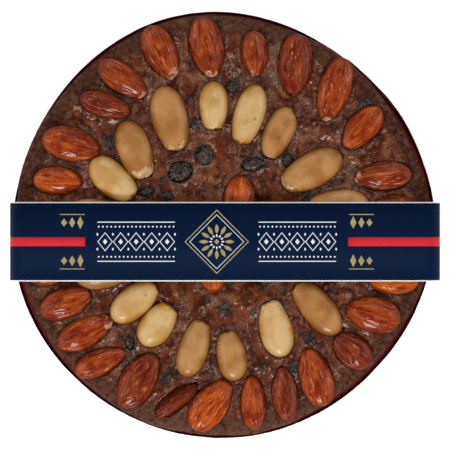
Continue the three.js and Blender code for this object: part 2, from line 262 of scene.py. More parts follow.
def by_direction(angle, table):
    """A value for each direction from the cake's middle, read between the rows of a table in degrees."""
    directions, values = np.array(table).T
    return np.interp(np.degrees(angle) % 360, directions, values, period=360)


def seeded_numbers(seed):
    """An endless row of random values from 0 to 1."""
    state = seed
    while True:
        state = (state * 1664525 + 1013904223) % 4294967296
        yield state / 4294967296


# Making pieces


def make_piece(name, points, faces, material, replaced=(), attributes=None):
    """A smooth mesh object in the shared frame, riding on the body, from points in millimetres."""
    mesh = bpy.data.meshes.new(name)
    mesh.from_pydata((np.asarray(points) * MM).tolist(), [], faces)
    mesh.update()
    mesh.polygons.foreach_set("use_smooth", [True] * len(mesh.polygons))
    for key, values in (attributes or {}).items():
        values = np.asarray(values, dtype=np.float32)
        kind, field = ("FLOAT", "value") if values.ndim == 1 else ("FLOAT_VECTOR", "vector")
        layer = mesh.attributes.new(key, kind, "POINT")
        layer.data.foreach_set(field, values.ravel())
    mesh.materials.append(material)
    piece = bpy.data.objects.new(name, mesh)
    bpy.context.scene.collection.objects.link(piece)
    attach(piece, "root")
    if replaced:
        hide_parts(*replaced)
    return piece


def join_shapes(shapes):
    """Several shapes' points and faces as one, with the number of the shape that each point is in."""
    points = []
    faces = []
    owner = []
    first = 0
    for number, (shape_points, shape_faces) in enumerate(shapes):
        points.append(shape_points)
        faces += [tuple(first + corner for corner in face) for face in shape_faces]
        owner.append(np.full(len(shape_points), number))
        first += len(shape_points)
    return np.vstack(points), faces, np.concatenate(owner)


def ellipsoid_grid(rings, sides):
    """Places along from -1 to 1 and turns around, ring by ring, without the two poles."""
    place = -np.cos(math.pi * np.arange(1, rings + 1) / (rings + 1))
    turn = TURN * np.arange(sides) / sides
    return np.repeat(place, sides), np.tile(turn, rings)


def sphere_girth(place):
    """A sphere's width along its length, as a share of its widest."""
    return np.sqrt(np.clip(1 - place**2, 0, 1))


def unit_sphere(rings, sides):
    """Points of a sphere of radius 1, ring by ring between its two poles."""
    place, turn = ellipsoid_grid(rings, sides)
    girth = sphere_girth(place)
    points = np.column_stack([place, girth * np.cos(turn), girth * np.sin(turn)])
    return np.vstack([[[-1.0, 0.0, 0.0]], points, [[1.0, 0.0, 0.0]]])


def capped_faces(rings, sides):
    """Faces of a closed skin over rings, with a pole before the first and after the last."""
    faces = [(0, 1 + (side + 1) % sides, 1 + side) for side in range(sides)]
    for ring in range(rings - 1):
        here = 1 + ring * sides
        for side in range(sides):
            after = (side + 1) % sides
            faces.append((here + side, here + after, here + sides + after, here + sides + side))
    last = 1 + (rings - 1) * sides
    pole = 1 + rings * sides
    faces += [(pole, last + side, last + (side + 1) % sides) for side in range(sides)]
    return faces


# The cake's outline and top surface, as in the frame


def outline_radius(angle):
    """The radius of the collar's top edge in each direction."""
    radius = np.full_like(angle, OUTLINE_RADIUS)
    for count, height, direction in OUTLINE_LOBES:
        radius += height * np.cos(count * (angle - math.radians(direction)))
    return radius


def outline_points(angle, inset, z):
    """Points at some inset from the collar's top edge."""
    radius = outline_radius(angle) - inset
    x = OUTLINE_CENTRE[0] + radius * np.cos(angle)
    y = OUTLINE_CENTRE[1] + radius * np.sin(angle)
    return np.column_stack([x, y, np.broadcast_to(z, x.shape)])


def crag_waves():
    """Long waves that make the baked top uneven: radians a millimetre along X and Y, and a shift."""
    numbers = seeded_numbers(CRAG_SEED)
    waves = []
    for _ in range(CRAG_WAVES):
        direction = next(numbers) * TURN
        pace = TURN / (CRAG_SHORTEST + (CRAG_LONGEST - CRAG_SHORTEST) * next(numbers))
        waves.append((pace * math.cos(direction), pace * math.sin(direction), next(numbers) * TURN))
    return waves


def edge_distance(x, y):
    """How far a point of the top lies inside the shoulder, and its distance from the middle."""
    dx = x - OUTLINE_CENTRE[0]
    dy = y - OUTLINE_CENTRE[1]
    distance = np.hypot(dx, dy)
    edge = outline_radius(np.arctan2(dy, dx)) - SIDE_INSET - SHOULDER
    return edge - distance, distance / edge


def top_height(x, y):
    """The height of the baked top, crowned and uneven, as in the frame."""
    inside, share = edge_distance(x, y)
    crags = sum(np.sin(wx * x + wy * y + shift) for wx, wy, shift in crag_waves())
    fade = step_between(inside, 0, CRAG_EDGE_FADE)
    crown = CROWN * np.maximum(0, 1 - share**2)
    return TOP_HEIGHT + crown + fade * CRAG_HEIGHT * crags / math.sqrt(CRAG_WAVES)


# Almonds: read from the frame, then made again with their skin's wrinkles


def nut_girth(place, tip):
    """An almond's width along its length, as a share of its widest."""
    taper, power = tip
    root = np.clip((NUT_WIDEST - place) / (NUT_WIDEST + 1), 0, 1)
    share = np.clip((place - NUT_WIDEST) / (1 - NUT_WIDEST), 0, 1)
    over = np.clip((share - 1 + TIP_ROUNDING) / TIP_ROUNDING, 0, 1)
    tip_side = (1 - taper * share**power) * np.sqrt(1 - over**2)
    return np.where(place < NUT_WIDEST, np.sqrt(1 - root**ROOT_POWER), tip_side)


def measure_solid(name, girth_of, measured):
    """The middle, directions and half sizes of a solid in the frame, its tip along the first direction.

    The solid has few faces, so its widest section is a little narrower than the real piece.
    """
    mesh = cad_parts[name].data
    points = np.empty(len(mesh.vertices) * 3)
    mesh.vertices.foreach_get("co", points)
    points = np.unique(np.round(points.reshape(-1, 3) / MM, 3), axis=0)
    centre = points.mean(axis=0)
    along, across, up = np.linalg.svd(points - centre, full_matrices=False)[2]
    local = (points - centre) @ along
    girth = np.linalg.norm(points - centre - np.outer(local, along), axis=1)
    far = np.abs(local) > 0.3 * np.abs(local).max()
    if girth[far & (local > 0)].mean() > girth[far & (local < 0)].mean():
        along = -along
    if up[2] < 0:
        up = -up
    across = np.cross(up, along)
    axes = np.array([along, across, up])
    local = (points - centre) @ axes.T
    centre = centre + ((local.max(axis=0) + local.min(axis=0)) / 2) @ axes
    seen = float(girth_of(np.array([measured]))[0])
    half = np.ptp(local, axis=0) / 2 / np.array([1.0, seen, seen**HEIGHT_POWER])
    return {"name": name, "centre": centre, "axes": axes, "half": half, "girth": girth_of}


def measure_solids(kind, girth_of, measured):
    """All solids in the frame whose name starts with a kind."""
    names = sorted(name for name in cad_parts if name.startswith(kind))
    return [measure_solid(name, girth_of, measured) for name in names]


def skin_streaks(place, turn, number):
    """Lengthwise wrinkles of an almond's skin: low in a groove, high on a ridge."""
    wander = 0.42 * smooth_noise(np.column_stack([place * 2.3, np.cos(turn), np.sin(turn)]) + number, 3)
    around = turn + wander
    total = np.zeros(len(place))
    for share, cells, along in ((0.65, 4.4, 1.0), (0.5, 8.6, 1.8), (0.25, 13.5, 3.2)):
        points = np.column_stack([cells * np.cos(around), cells * np.sin(around), place * along])
        total += share * smooth_noise(points + 7.7 * number, 40 + number)
    return total


def nut_tone(number, dark, bright):
    """From 0 for a dark nut to 1 for a bright one; the others lie between."""
    spread = lattice_random(np.array([[number, 3, 5]]), 77)[0]
    if number in dark:
        return 0.15 * spread
    if number in bright:
        return 0.85 + 0.15 * spread
    return 0.3 + 0.4 * spread


def make_nut(solid, number, tone, ridge, material):
    """An almond over its own solid, with its skin's wrinkles and an uneven tip."""
    place, turn = ellipsoid_grid(NUT_RINGS, NUT_SIDES)
    girth = solid["girth"](place)
    streaks = skin_streaks(place, turn, number)
    half = solid["half"]
    body = np.column_stack([place * 1.4, girth * np.cos(turn) * 0.9, girth * np.sin(turn) * 0.9])
    bulge = 1 + 0.035 * smooth_noise(body + number * 3.1, 7)
    relief = ridge * (streaks * step_between(girth, 0.12, 0.55) - 1)
    across = (half[1] * bulge + relief) * girth * np.cos(turn)
    up = (half[2] * bulge + relief) * girth**HEIGHT_POWER * np.sin(turn)
    ends = np.column_stack([1.7 * np.cos(turn), 1.7 * np.sin(turn), np.full(len(turn), number * 2.3)])
    broken = CHIP_DEPTH * (0.5 + 0.5 * layered_noise(ends, 1.0, 83, 2))
    along = half[0] * place - broken * step_between(place, CHIP_START, 1.0)
    local = np.column_stack([along, across, up])
    poles = np.array([[-half[0], 0, 0], [half[0] - 0.5 * CHIP_DEPTH, 0, 0]])
    points = np.vstack([poles[:1], local, poles[1:]]) @ solid["axes"] + solid["centre"]
    grain = np.column_stack([along / GRAIN_STRETCH, GRAIN_RADIUS * np.cos(turn), GRAIN_RADIUS * np.sin(turn)])
    ragged = layered_noise(local + number * 9.7, 2.2, 300 + number)
    loss = lattice_random(np.array([[number, 8, 2]]), 91)[0]
    chip = step_between(place * 1.6 - 1.44 + 0.16 * loss + 0.42 * ragged, 0.0, 0.12) * (number in CHIPPED)
    attributes = {
        "streak": streaks,
        "chip": chip,
        "flank": 1 - np.clip(girth**HEIGHT_POWER * np.sin(turn), 0, 1),
        "tone": np.full(len(place), tone),
        "grain": grain + number * 13.7,
    }
    ends = {key: np.concatenate([v[:1], v, v[-1:]]) for key, v in attributes.items()}
    name = solid["name"] + "_skin"
    make_piece(name, points, capped_faces(NUT_RINGS, NUT_SIDES), material, [solid["name"]], ends)


# Dried fruit


def wrinkled_shape(half, axes, centre, number, depth, rings, sides):
    """A dried fruit's points, and how deep in a crease each lies."""
    unit = unit_sphere(rings, sides)
    body = unit * half + number * 5.3
    broad = step_between(ridged(layered_noise(body, 2.6, 500 + number, 2)), 0.55, 1.0)
    fine = step_between(ridged(layered_noise(body, 1.3, 540 + number, 2)), 0.5, 1.0)
    swell = 1 - depth * broad - 0.4 * depth * fine + 0.05 * smooth_noise(unit * 1.5 + number, 11)
    return unit * half * swell[:, None] @ axes + centre, np.clip(broad + 0.5 * fine, 0, 1)


def make_raisin(solid, number, material):
    """A raisin over its own solid, with deep creases."""
    points, crease = wrinkled_shape(
        solid["half"], solid["axes"], solid["centre"], number, 0.15, FRUIT_RINGS, FRUIT_SIDES
    )
    name = solid["name"] + "_skin"
    faces = capped_faces(FRUIT_RINGS, FRUIT_SIDES)
    make_piece(name, points, faces, material, [solid["name"]], {"crease": crease})


def make_small_fruit(name, places, size, proud, depth, material):
    """Small fruits that the cake's own solid holds, as one joined piece."""
    shapes = []
    creases = []
    own_faces = capped_faces(SMALL_FRUIT_RINGS, SMALL_FRUIT_SIDES)
    half = np.array(size) / 2
    for number, (x, y, direction) in enumerate(places):
        angle = math.radians(direction)
        axes = np.array([
            [math.cos(angle), math.sin(angle), 0.0],
            [-math.sin(angle), math.cos(angle), 0.0],
            [0.0, 0.0, 1.0],
        ])
        height = float(top_height(np.array([x]), np.array([y]))[0])
        centre = np.array([x, y, height + proud - half[2]])
        points, crease = wrinkled_shape(
            half, axes, centre, 60 + number, depth, SMALL_FRUIT_RINGS, SMALL_FRUIT_SIDES
        )
        shapes.append((points, own_faces))
        creases.append(crease)
    points, faces, _ = join_shapes(shapes)
    attributes = {"crease": np.concatenate(creases)}
    make_piece(name, points, faces, material, ["cake"], attributes)


# The glazed top of the cake


def turn_of(a, b, c):
    """Above 0 where three flat points turn left, below 0 where they turn right."""
    return (b[0] - a[0]) * (c[1] - a[1]) - (b[1] - a[1]) * (c[0] - a[0])


def convex_outline(points):
    """The convex outline of flat points, anticlockwise."""
    ordered = points[np.lexsort((points[:, 1], points[:, 0]))]
    halves = []
    for sweep in (ordered, ordered[::-1]):
        chain = []
        for p in sweep:
            while len(chain) > 1 and turn_of(chain[-2], chain[-1], p) <= 0:
                chain.pop()
            chain.append(p)
        halves.append(chain[:-1])
    return np.array(halves[0] + halves[1])


def plan_outline(solid, steps=32):
    """The outline of a topping seen from above, as a closed polygon."""
    place = -np.cos(math.pi * np.arange(0, steps + 1) / steps)
    girth = solid["girth"](place)
    turn = TURN * np.arange(steps) / steps
    half = solid["half"]
    local = np.column_stack([
        np.repeat(half[0] * place, steps),
        np.outer(half[1] * girth, np.cos(turn)).ravel(),
        np.outer(half[2] * girth, np.sin(turn)).ravel(),
    ])
    return convex_outline((local @ solid["axes"] + solid["centre"])[:, :2])


def outline_distance(x, y, polygon):
    """Signed distance from points to a convex outline, negative inside."""
    best = np.full(len(x), 1e9)
    outside = np.zeros(len(x), bool)
    for a, b in zip(polygon, np.roll(polygon, -1, axis=0)):
        edge = b - a
        length = np.hypot(*edge)
        if length < 1e-6:
            continue
        share = np.clip(((x - a[0]) * edge[0] + (y - a[1]) * edge[1]) / length**2, 0, 1)
        best = np.minimum(best, np.hypot(x - a[0] - share * edge[0], y - a[1] - share * edge[1]))
        outside |= (x - a[0]) * edge[1] - (y - a[1]) * edge[0] > 0
    return np.where(outside, best, -best)


def topping_field(x, y, toppings, reach=7.0):
    """For each point of the top: the distance to the nearest topping and which one it is."""
    nearest = np.full(len(x), reach)
    owner = np.full(len(x), -1)
    for index, solid in enumerate(toppings):
        far = solid["half"][0] + reach
        close = np.hypot(x - solid["centre"][0], y - solid["centre"][1]) < far
        distance = outline_distance(x[close], y[close], plan_outline(solid))
        better = distance < nearest[close]
        rows = np.flatnonzero(close)[better]
        nearest[rows] = distance[better]
        owner[rows] = index
    return nearest, owner


def pit_floor(gap, owner, toppings):
    """The height of the pit under each topping: its underside, seen from its outline inward."""
    middle = np.array([solid["centre"][2] for solid in toppings])
    rise = np.array([np.linalg.norm(solid["half"] * solid["axes"][:, 2]) for solid in toppings])
    flat = [np.linalg.norm(solid["axes"][1:, :2], axis=1) for solid in toppings]
    spread = np.array([np.linalg.norm(solid["half"][1:] * share) for solid, share in zip(toppings, flat)])
    depth = np.clip((-gap - CONTACT) / spread[owner], 0, 1)
    return middle[owner] - PIT_GAP - rise[owner] * np.sqrt(1 - (1 - depth) ** 2)


def buried_fruit(x, y, fruits):
    """How far inside a buried fruit each point lies: 1 in its middle, 0 from its edge on."""
    inside = np.zeros(len(x))
    for middle_x, middle_y, length, width, direction in fruits:
        cos, sin = math.cos(math.radians(direction)), math.sin(math.radians(direction))
        along = ((x - middle_x) * cos + (y - middle_y) * sin) / (length / 2)
        across = ((y - middle_y) * cos - (x - middle_x) * sin) / (width / 2)
        inside = np.maximum(inside, 1 - np.hypot(along, across))
    return inside


def disc_grid(cells):
    """Angle and share of the radius for each corner of a square grid laid on a disc."""
    line = 2 * np.arange(cells + 1) / cells - 1
    u, v = np.meshgrid(line, line)
    wide = np.abs(u) > np.abs(v)
    safe_u = np.where(wide, u, 1)
    safe_v = np.where(wide | (v == 0), 1, v)
    angle = np.where(
        wide,
        math.pi / 4 * v / safe_u + np.where(u < 0, math.pi, 0),
        math.pi / 2 - math.pi / 4 * u / safe_v + np.where(v < 0, math.pi, 0),
    )
    return angle.ravel(), np.maximum(np.abs(u), np.abs(v)).ravel()


def raisin_halo(solid):
    """The dark glaze round a raisin, written as a buried fruit is."""
    along = solid["axes"][0]
    direction = math.degrees(math.atan2(along[1], along[0]))
    return (*solid["centre"][:2], 2 * solid["half"][0] + HALO, 2 * solid["half"][1] + HALO, direction)


def top_relief(x, y, raisins):
    """The fine relief of the glazed top, with how far each point lies in a sultana, dark fruit or pore."""
    points = flat_points(x, y)
    warp_x = x + 0.5 * layered_noise(points, 2.6, 21, 2)
    warp_y = y + 0.5 * layered_noise(points, 2.6, 31, 2)
    sultana = buried_fruit(warp_x, warp_y, SULTANAS)
    halos = tuple(raisin_halo(solid) for solid in raisins)
    halos += tuple((*middle, *CURRANT_HALO, direction) for *middle, direction in CURRANTS)
    dark_fruit = buried_fruit(warp_x, warp_y, DARK_FRUIT + halos)
    crinkled = step_between(layered_noise(points, 11, 131, 2), -0.3, 0.35)
    folds = step_between(ridged(layered_noise(points, FOLD_SIZE, 121, 2)), 0.76, 0.99)
    pores = step_between(layered_noise(points, PORE_SIZE, 141, 2), 0.68, 0.92) * (1 - np.sqrt(sultana))
    grain = layered_noise(points, GRAIN_SIZE, 111, 2)
    relief = 0.34 * layered_noise(points, SWELL_SIZE, 101, 3)
    relief += (0.15 + 0.3 * crinkled) * folds + (0.03 + 0.08 * crinkled) * grain - 0.5 * pores
    relief += 0.5 * np.sqrt(sultana) + np.sqrt(dark_fruit) * (0.5 + 0.3 * grain)
    made_of = {
        "sultana": step_between(sultana, 0.0, 0.3),
        "dark_fruit": step_between(dark_fruit, 0.0, 0.3),
        "pores": pores,
    }
    return relief, made_of


def shoulder_levels():
    """Inset and height of each ring from the shoulder down to the foot."""
    levels = []
    for step in range(1, SHOULDER_STEPS + 1):
        turn = math.pi / 2 * step / SHOULDER_STEPS
        out = math.sin(turn) ** SQUARENESS
        down = max(0.0, math.cos(turn)) ** SQUARENESS
        inset = SIDE_INSET + SHOULDER - (SHOULDER + SIDE_SWELL) * out
        levels.append((inset, TOP_HEIGHT - SHOULDER * (1 - down)))
    levels += [(SIDE_INSET, height) for height in (*WALL_HEIGHTS, FOOT_HEIGHT + FOOT_RADIUS)]
    levels += [(SIDE_INSET + 0.6, FOOT_HEIGHT + 0.6), (SIDE_INSET + FOOT_RADIUS, FOOT_HEIGHT)]
    return levels


def edge_reach(angle, inset, height):
    """How far the baked edge moves out over the paper, or in from the paper where it is loose."""
    reach = by_direction(angle, EDGE_REACH)
    height = np.full(len(angle), height)
    outer = step_between(SIDE_INSET + SHOULDER - np.full(len(angle), inset), 1.5, 5.0)
    over = step_between(height, COLLAR_TOP - 0.3, COLLAR_TOP + 0.5)
    under = step_between(height, *LOOSE_HEIGHTS)
    return outer * np.where(reach > 0, reach * over, reach * under)


def top_surface(toppings):
    """The glazed top on a square grid laid over its disc, with a lip and a pit at every topping."""
    angle, share = disc_grid(TOP_CELLS)
    radius = share * (outline_radius(angle) - SIDE_INSET - SHOULDER)
    x = OUTLINE_CENTRE[0] + radius * np.cos(angle)
    y = OUTLINE_CENTRE[1] + radius * np.sin(angle)
    inside, _ = edge_distance(x, y)
    glazed = step_between(inside, *RIM_INSIDE)
    raisins = [solid for solid in toppings if solid["name"].startswith("raisin")]
    relief, made_of = top_relief(x, y, raisins)
    z = top_height(x, y) + (0.3 + 0.7 * glazed) * relief * step_between(inside, -0.2, 0.8)

    gap, owner = topping_field(x, y, toppings)
    climbing = np.clip(0.5 + 0.6 * layered_noise(flat_points(x, y), LIP_WAVE, 151, 2), 0, 1.4)
    lip = np.exp(-((np.maximum(gap, 0) / LIP_WIDTH) ** 2))
    z = z + LIP_HEIGHT * climbing * lip * step_between(inside, -0.5, 3)
    z = np.where(gap < -CONTACT, np.minimum(z, pit_floor(gap, owner, toppings)), z)

    # painted shade: a dark line where the glaze meets each nut, and in the pores
    crevice = np.exp(-((np.maximum(gap, 0) / CREVICE_WIDTH) ** 2))
    made_of["shade_in_hollows"] = np.maximum(crevice, 0.8 * made_of.pop("pores"))
    # painted highlight: where the pale line of sugar and glints round each nut is thickest
    made_of["lip"] = np.exp(-(((gap - SUGAR_AND_HIGHLIGHT_LINE) / SUGAR_AND_HIGHLIGHT_LINE) ** 2))
    made_of["rim"] = 1 - glazed
    made_of["middle"] = 1 - step_between(np.hypot(x, y), *MIDDLE_REACH)
    return np.column_stack([x, y, z]), angle, gap, inside, made_of


def crust_wall(angle, levels):
    """Rings of points from the shoulder down to the foot, waved as a baked edge is."""
    rings = [(inset - edge_reach(angle, inset, height), height) for inset, height in levels]
    wall = np.vstack([outline_points(angle, inset, height) for inset, height in rings])
    outward = unit_rows(wall[:, :2] - OUTLINE_CENTRE)
    wave = layered_noise(wall, WALL_WAVE, 161, 3)
    overhang = np.tile(step_between(edge_reach(angle, SIDE_INSET, TOP_HEIGHT), 0.9, 1.7), len(levels))
    ragged = 0.2 + 0.3 * overhang * step_between(wall[:, 2], 39.4, 40.2)
    wall[:, :2] += outward * (ragged * (wave - 1))[:, None]
    wall[:, 2] += 0.12 * layered_noise(wall, 5.0, 171, 2) * step_between(wall[:, 2], 34, 38)
    return wall


def crust_faces(grid, rim, levels):
    """Faces over the top's grid, down the wall from ring to ring, and round the middle of the foot."""
    quads = np.stack([grid[:-1, :-1], grid[:-1, 1:], grid[1:, 1:], grid[1:, :-1]], axis=-1)
    faces = quads.reshape(-1, 4).tolist()
    around = np.arange(len(rim))
    after = np.roll(around, -1)
    rings = [rim] + [grid.size + level * len(rim) + around for level in range(levels)]
    for upper, lower in zip(rings, rings[1:]):
        faces += np.column_stack([upper[after], upper, lower, lower[after]]).tolist()
    foot = np.full(len(rim), grid.size + levels * len(rim))
    return faces + np.column_stack([foot, rings[-1][after], rings[-1]]).tolist()


def make_crust(toppings, material):
    """The cake's whole skin: its glazed top with a pit under each topping, its side and its foot."""
    top, angle, gap, inside, made_of = top_surface(toppings)
    size = TOP_CELLS + 1
    grid = np.arange(size * size).reshape(size, size)
    rim = np.concatenate([grid[0, :-1], grid[:-1, -1], grid[-1, :0:-1], grid[:0:-1, 0]])
    levels = shoulder_levels()
    foot_middle = [[*OUTLINE_CENTRE, FOOT_HEIGHT]]
    points = np.vstack([top, crust_wall(angle[rim], levels), foot_middle])

    extra = len(points) - len(top)
    full = {key: np.concatenate([v, np.full(extra, float(key == "rim"))]) for key, v in made_of.items()}
    flat = points[:, :2] - OUTLINE_CENTRE
    full["rim_light"] = by_direction(np.arctan2(flat[:, 1], flat[:, 0]), RIM_LIGHT)
    below = np.arange(len(points)) >= len(top)
    full["stain"] = below * (1 - step_between(points[:, 2], *STAIN_HEIGHTS))
    faces = crust_faces(grid, rim, len(levels))
    make_piece("cake_crust", points, faces, material, ["cake"], full)
    return top, gap, inside


def make_crumbs(top, gap, inside, material):
    """Loose crumbs and sugar grains that stick to the glaze, thickest in drifts."""
    drift = layered_noise(top * [1, 1, 0], 9.0, 301, 2) + 0.5 * layered_noise(top * [1, 1, 0], 3.0, 311, 2)
    places = np.flatnonzero((gap > 0.3) & (inside > 1.0) & (drift > 0.1))
    numbers = seeded_numbers(CRUMB_SEED)
    unit = unit_sphere(CRUMB_RINGS, CRUMB_SIDES)
    faces = capped_faces(CRUMB_RINGS, CRUMB_SIDES)
    shapes = []
    tones = []
    for number in range(CRUMB_COUNT):
        middle = top[places[int(next(numbers) * len(places))]]
        half = (CRUMB_SMALLEST + (CRUMB_LARGEST - CRUMB_SMALLEST) * next(numbers) ** 2.5) / 2
        swell = 1 + 0.3 * smooth_noise(unit * 1.6 + number * 3.7, 71)
        points = unit * half * [1.3, 1, 0.8] * swell[:, None] + middle + [0, 0, 0.25 * half]
        shapes.append((points, faces))
        tones.append(next(numbers))
    points, faces, owner = join_shapes(shapes)
    make_piece("crumbs", points, faces, material, (), {"tone": np.array(tones)[owner]})


# The paper collar


def collar_profile():
    """Height, lean and thickness of each ring: up the strip's inner face, then down its outer face."""
    straight = np.linspace(FOOT_HEIGHT, COLLAR_FOLD, 7)
    heights = np.concatenate([straight, np.linspace(COLLAR_FOLD, COLLAR_TOP - 0.2, 6)[1:], [COLLAR_TOP]])
    lean = step_between(heights, COLLAR_FOLD - 4, COLLAR_TOP)
    inner = [(height, out, 0.0) for height, out in zip(heights, lean)]
    return inner + [(height, out, PAPER) for height, out, _ in reversed(inner)]


def collar_faces(profile):
    """Faces round the strip's cross-section from step to step, and over its two cut ends."""
    faces = []
    for step in range(COLLAR_STEPS):
        here = step * profile
        for corner in range(profile):
            up = (corner + 1) % profile
            faces.append((here + corner, here + up, here + profile + up, here + profile + corner))
    last = COLLAR_STEPS * profile
    for corner in range(profile // 2 - 1):
        far = profile - 1 - corner
        faces.append((corner, far, far - 1, corner + 1))
        faces.append((last + corner, last + corner + 1, last + far - 1, last + far))
    return faces


def make_collar(material):
    """A strip wound once round the cake, its outer end lying over its inner end."""
    turned = (360 + SEAM_OVERLAP) * np.arange(COLLAR_STEPS + 1) / COLLAR_STEPS
    angle = np.radians(SEAM_START + turned)
    rise = step_between(turned, 360 - SEAM_RAMP, 360) * (PAPER + COLLAR_GAP)
    circle = flat_points(np.cos(angle), np.sin(angle))
    wave = layered_noise(COLLAR_WAVES * circle, 1.0, 201, 2)
    pleat = ridged(smooth_noise(COLLAR_PLEATS * circle, 211))
    crease = 0.05 * np.clip(pleat - 0.85, 0, 1) / 0.15
    rings = []
    for height, out, thickness in collar_profile():
        flare = COLLAR_FLARE * out * (1 - 0.3 * np.clip(wave, 0, 1) - 0.25 * np.clip(pleat - 0.8, 0, 1))
        inset = SIDE_INSET - COLLAR_GAP - flare + crease - rise - thickness
        rings.append(outline_points(angle, inset, height - 0.3 * out * np.clip(wave + 0.4, 0, 1)))
    profile = len(rings)
    points = np.stack(rings, axis=1).reshape(-1, 3)
    edge = np.zeros((COLLAR_STEPS + 1, profile))
    edge[[0, -1], :] = 1
    edge[:, profile // 2 - 1 : profile // 2 + 1] = 1
    attributes = {"cut_edge": edge.ravel()}
    faces = collar_faces(profile)
    make_piece("collar_paper", points, faces, material, ["collar"], attributes)


# The card band and its print


def fill_straights(path, longest):
    """Adds points so that no stretch of a closed path is longer than asked."""
    filled = []
    for here, after in zip(path, np.roll(path, -1, axis=0)):
        count = max(1, int(math.ceil(np.hypot(*(after - here)) / longest)))
        filled += [here + (after - here) * step / count for step in range(count)]
    return np.array(filled)


def band_path(inset, steps=14):
    """The band's loop as points of X and Z, anticlockwise from the right end of the foot."""
    half = BAND_SPAN / 2
    corners = [
        (half - BAND_FOOT_CORNER, BAND_FOOT_CORNER, BAND_FOOT_CORNER - inset, -90),
        (half - BAND_TOP_CORNER, BAND_HEIGHT - BAND_TOP_CORNER, BAND_TOP_CORNER - inset, 0),
        (BAND_TOP_CORNER - half, BAND_HEIGHT - BAND_TOP_CORNER, BAND_TOP_CORNER - inset, 90),
        (BAND_FOOT_CORNER - half, BAND_FOOT_CORNER, BAND_FOOT_CORNER - inset, 180),
    ]
    points = []
    for x, z, radius, start in corners:
        turn = np.radians(start + 90 * np.arange(steps + 1) / steps)
        points.append(np.column_stack([x + radius * np.cos(turn), z + radius * np.sin(turn)]))
    return fill_straights(np.vstack(points), 6.0)


def inner_path(path, extra):
    """Moves an anticlockwise path inward."""
    forward = np.roll(path, -1, axis=0) - path
    back = path - np.roll(path, 1, axis=0)
    tangent = unit_rows(unit_rows(forward) + unit_rows(back))
    return path + np.column_stack([-tangent[:, 1], tangent[:, 0]]) * extra


def band_strip(name, inset, thickness, width, material, ends=None):
    """Card or ink that follows the band's loop, all round or from one X on the top, under, to another X."""
    path = band_path(inset)
    inner = inner_path(path, thickness)
    if ends:
        right, left = ends
        covered = (path[:, 1] > BAND_HEIGHT - 1) & (path[:, 0] < right) & (path[:, 0] > left)
        first = int(np.flatnonzero(~covered & np.roll(covered, 1))[0])
        order = np.roll(np.arange(len(path)), -first)[: int((~covered).sum())]
        top = BAND_HEIGHT - inset
        path = np.vstack([[left, top], path[order], [right, top]])
        inner = np.vstack([[left, top - thickness], inner[order], [right, top - thickness]])
    low_y = BAND_Y - width / 2
    high_y = BAND_Y + width / 2
    rows = [(path, low_y), (path, high_y), (inner, high_y), (inner, low_y)]
    points = np.vstack([np.column_stack([p[:, 0], np.full(len(p), y), p[:, 1]]) for p, y in rows])
    count = len(path)
    faces = []
    for row in range(4):
        here = row * count
        there = ((row + 1) % 4) * count
        for step in range(count - 1 if ends else count):
            after = (step + 1) % count
            faces.append((here + after, here + step, there + step, there + after))
    if ends:
        faces.append((0, 3 * count, 2 * count, count))
        faces.append((count - 1, 2 * count - 1, 3 * count - 1, 4 * count - 1))
    make_piece(name, points, faces, material, ["band"])


def printed_marks(name, outlines, material):
    """Marks printed on the band's top face, each a flat outline given in X and Y."""
    shapes = []
    for outline in outlines:
        flat = np.array(outline)
        count = len(flat)
        low = np.column_stack([flat, np.full(count, BAND_HEIGHT - INK)])
        high = np.column_stack([flat, np.full(count, BAND_HEIGHT)])
        faces = [tuple(range(count, 2 * count)), tuple(reversed(range(count)))]
        faces += [(s, (s + 1) % count, count + (s + 1) % count, count + s) for s in range(count)]
        shapes.append((np.vstack([low, high]), faces))
    points, faces, _ = join_shapes(shapes)
    piece = make_piece(name, points, faces, material, ["band"])
    piece.data.polygons.foreach_set("use_smooth", [False] * len(piece.data.polygons))


def petal(x, y, length, width, direction, steps=10):
    """A leaf-shaped outline from its base point along a direction in degrees."""
    share = np.arange(steps + 1) / steps
    side = width / 2 * np.sin(math.pi * share) ** 0.8
    along = np.concatenate([share * length, (share * length)[-2:0:-1]])
    across = np.concatenate([-side, side[-2:0:-1]])
    cos, sin = math.cos(math.radians(direction)), math.sin(math.radians(direction))
    return [(x + a * cos - b * sin, y + a * sin + b * cos) for a, b in zip(along, across)]


def lozenge(x, y, wide, high):
    """A lozenge's four corners round its middle."""
    return [(x + wide / 2, y), (x, y + high / 2), (x - wide / 2, y), (x, y - high / 2)]


def bar(x0, x1, y0, y1):
    """A bar's four corners."""
    return [(x0, y0), (x1, y0), (x1, y1), (x0, y1)]


def lozenge_frame(x, y, wide, high, line):
    """Four slanted bars that make an open lozenge."""
    outer = lozenge(x, y, wide, high)
    inner = lozenge(x, y, wide - 2 * line, high - 2 * line * high / wide)
    return [[outer[i], outer[(i + 1) % 4], inner[(i + 1) % 4], inner[i]] for i in range(4)]


def rosette(x, y, petals, near, far, width):
    """Petals set round a middle point."""
    shapes = []
    for step in range(petals):
        turn = 360 * step / petals
        start_x = x + near * math.cos(math.radians(turn))
        start_y = y + near * math.sin(math.radians(turn))
        shapes.append(petal(start_x, start_y, far - near, width, turn))
    return shapes


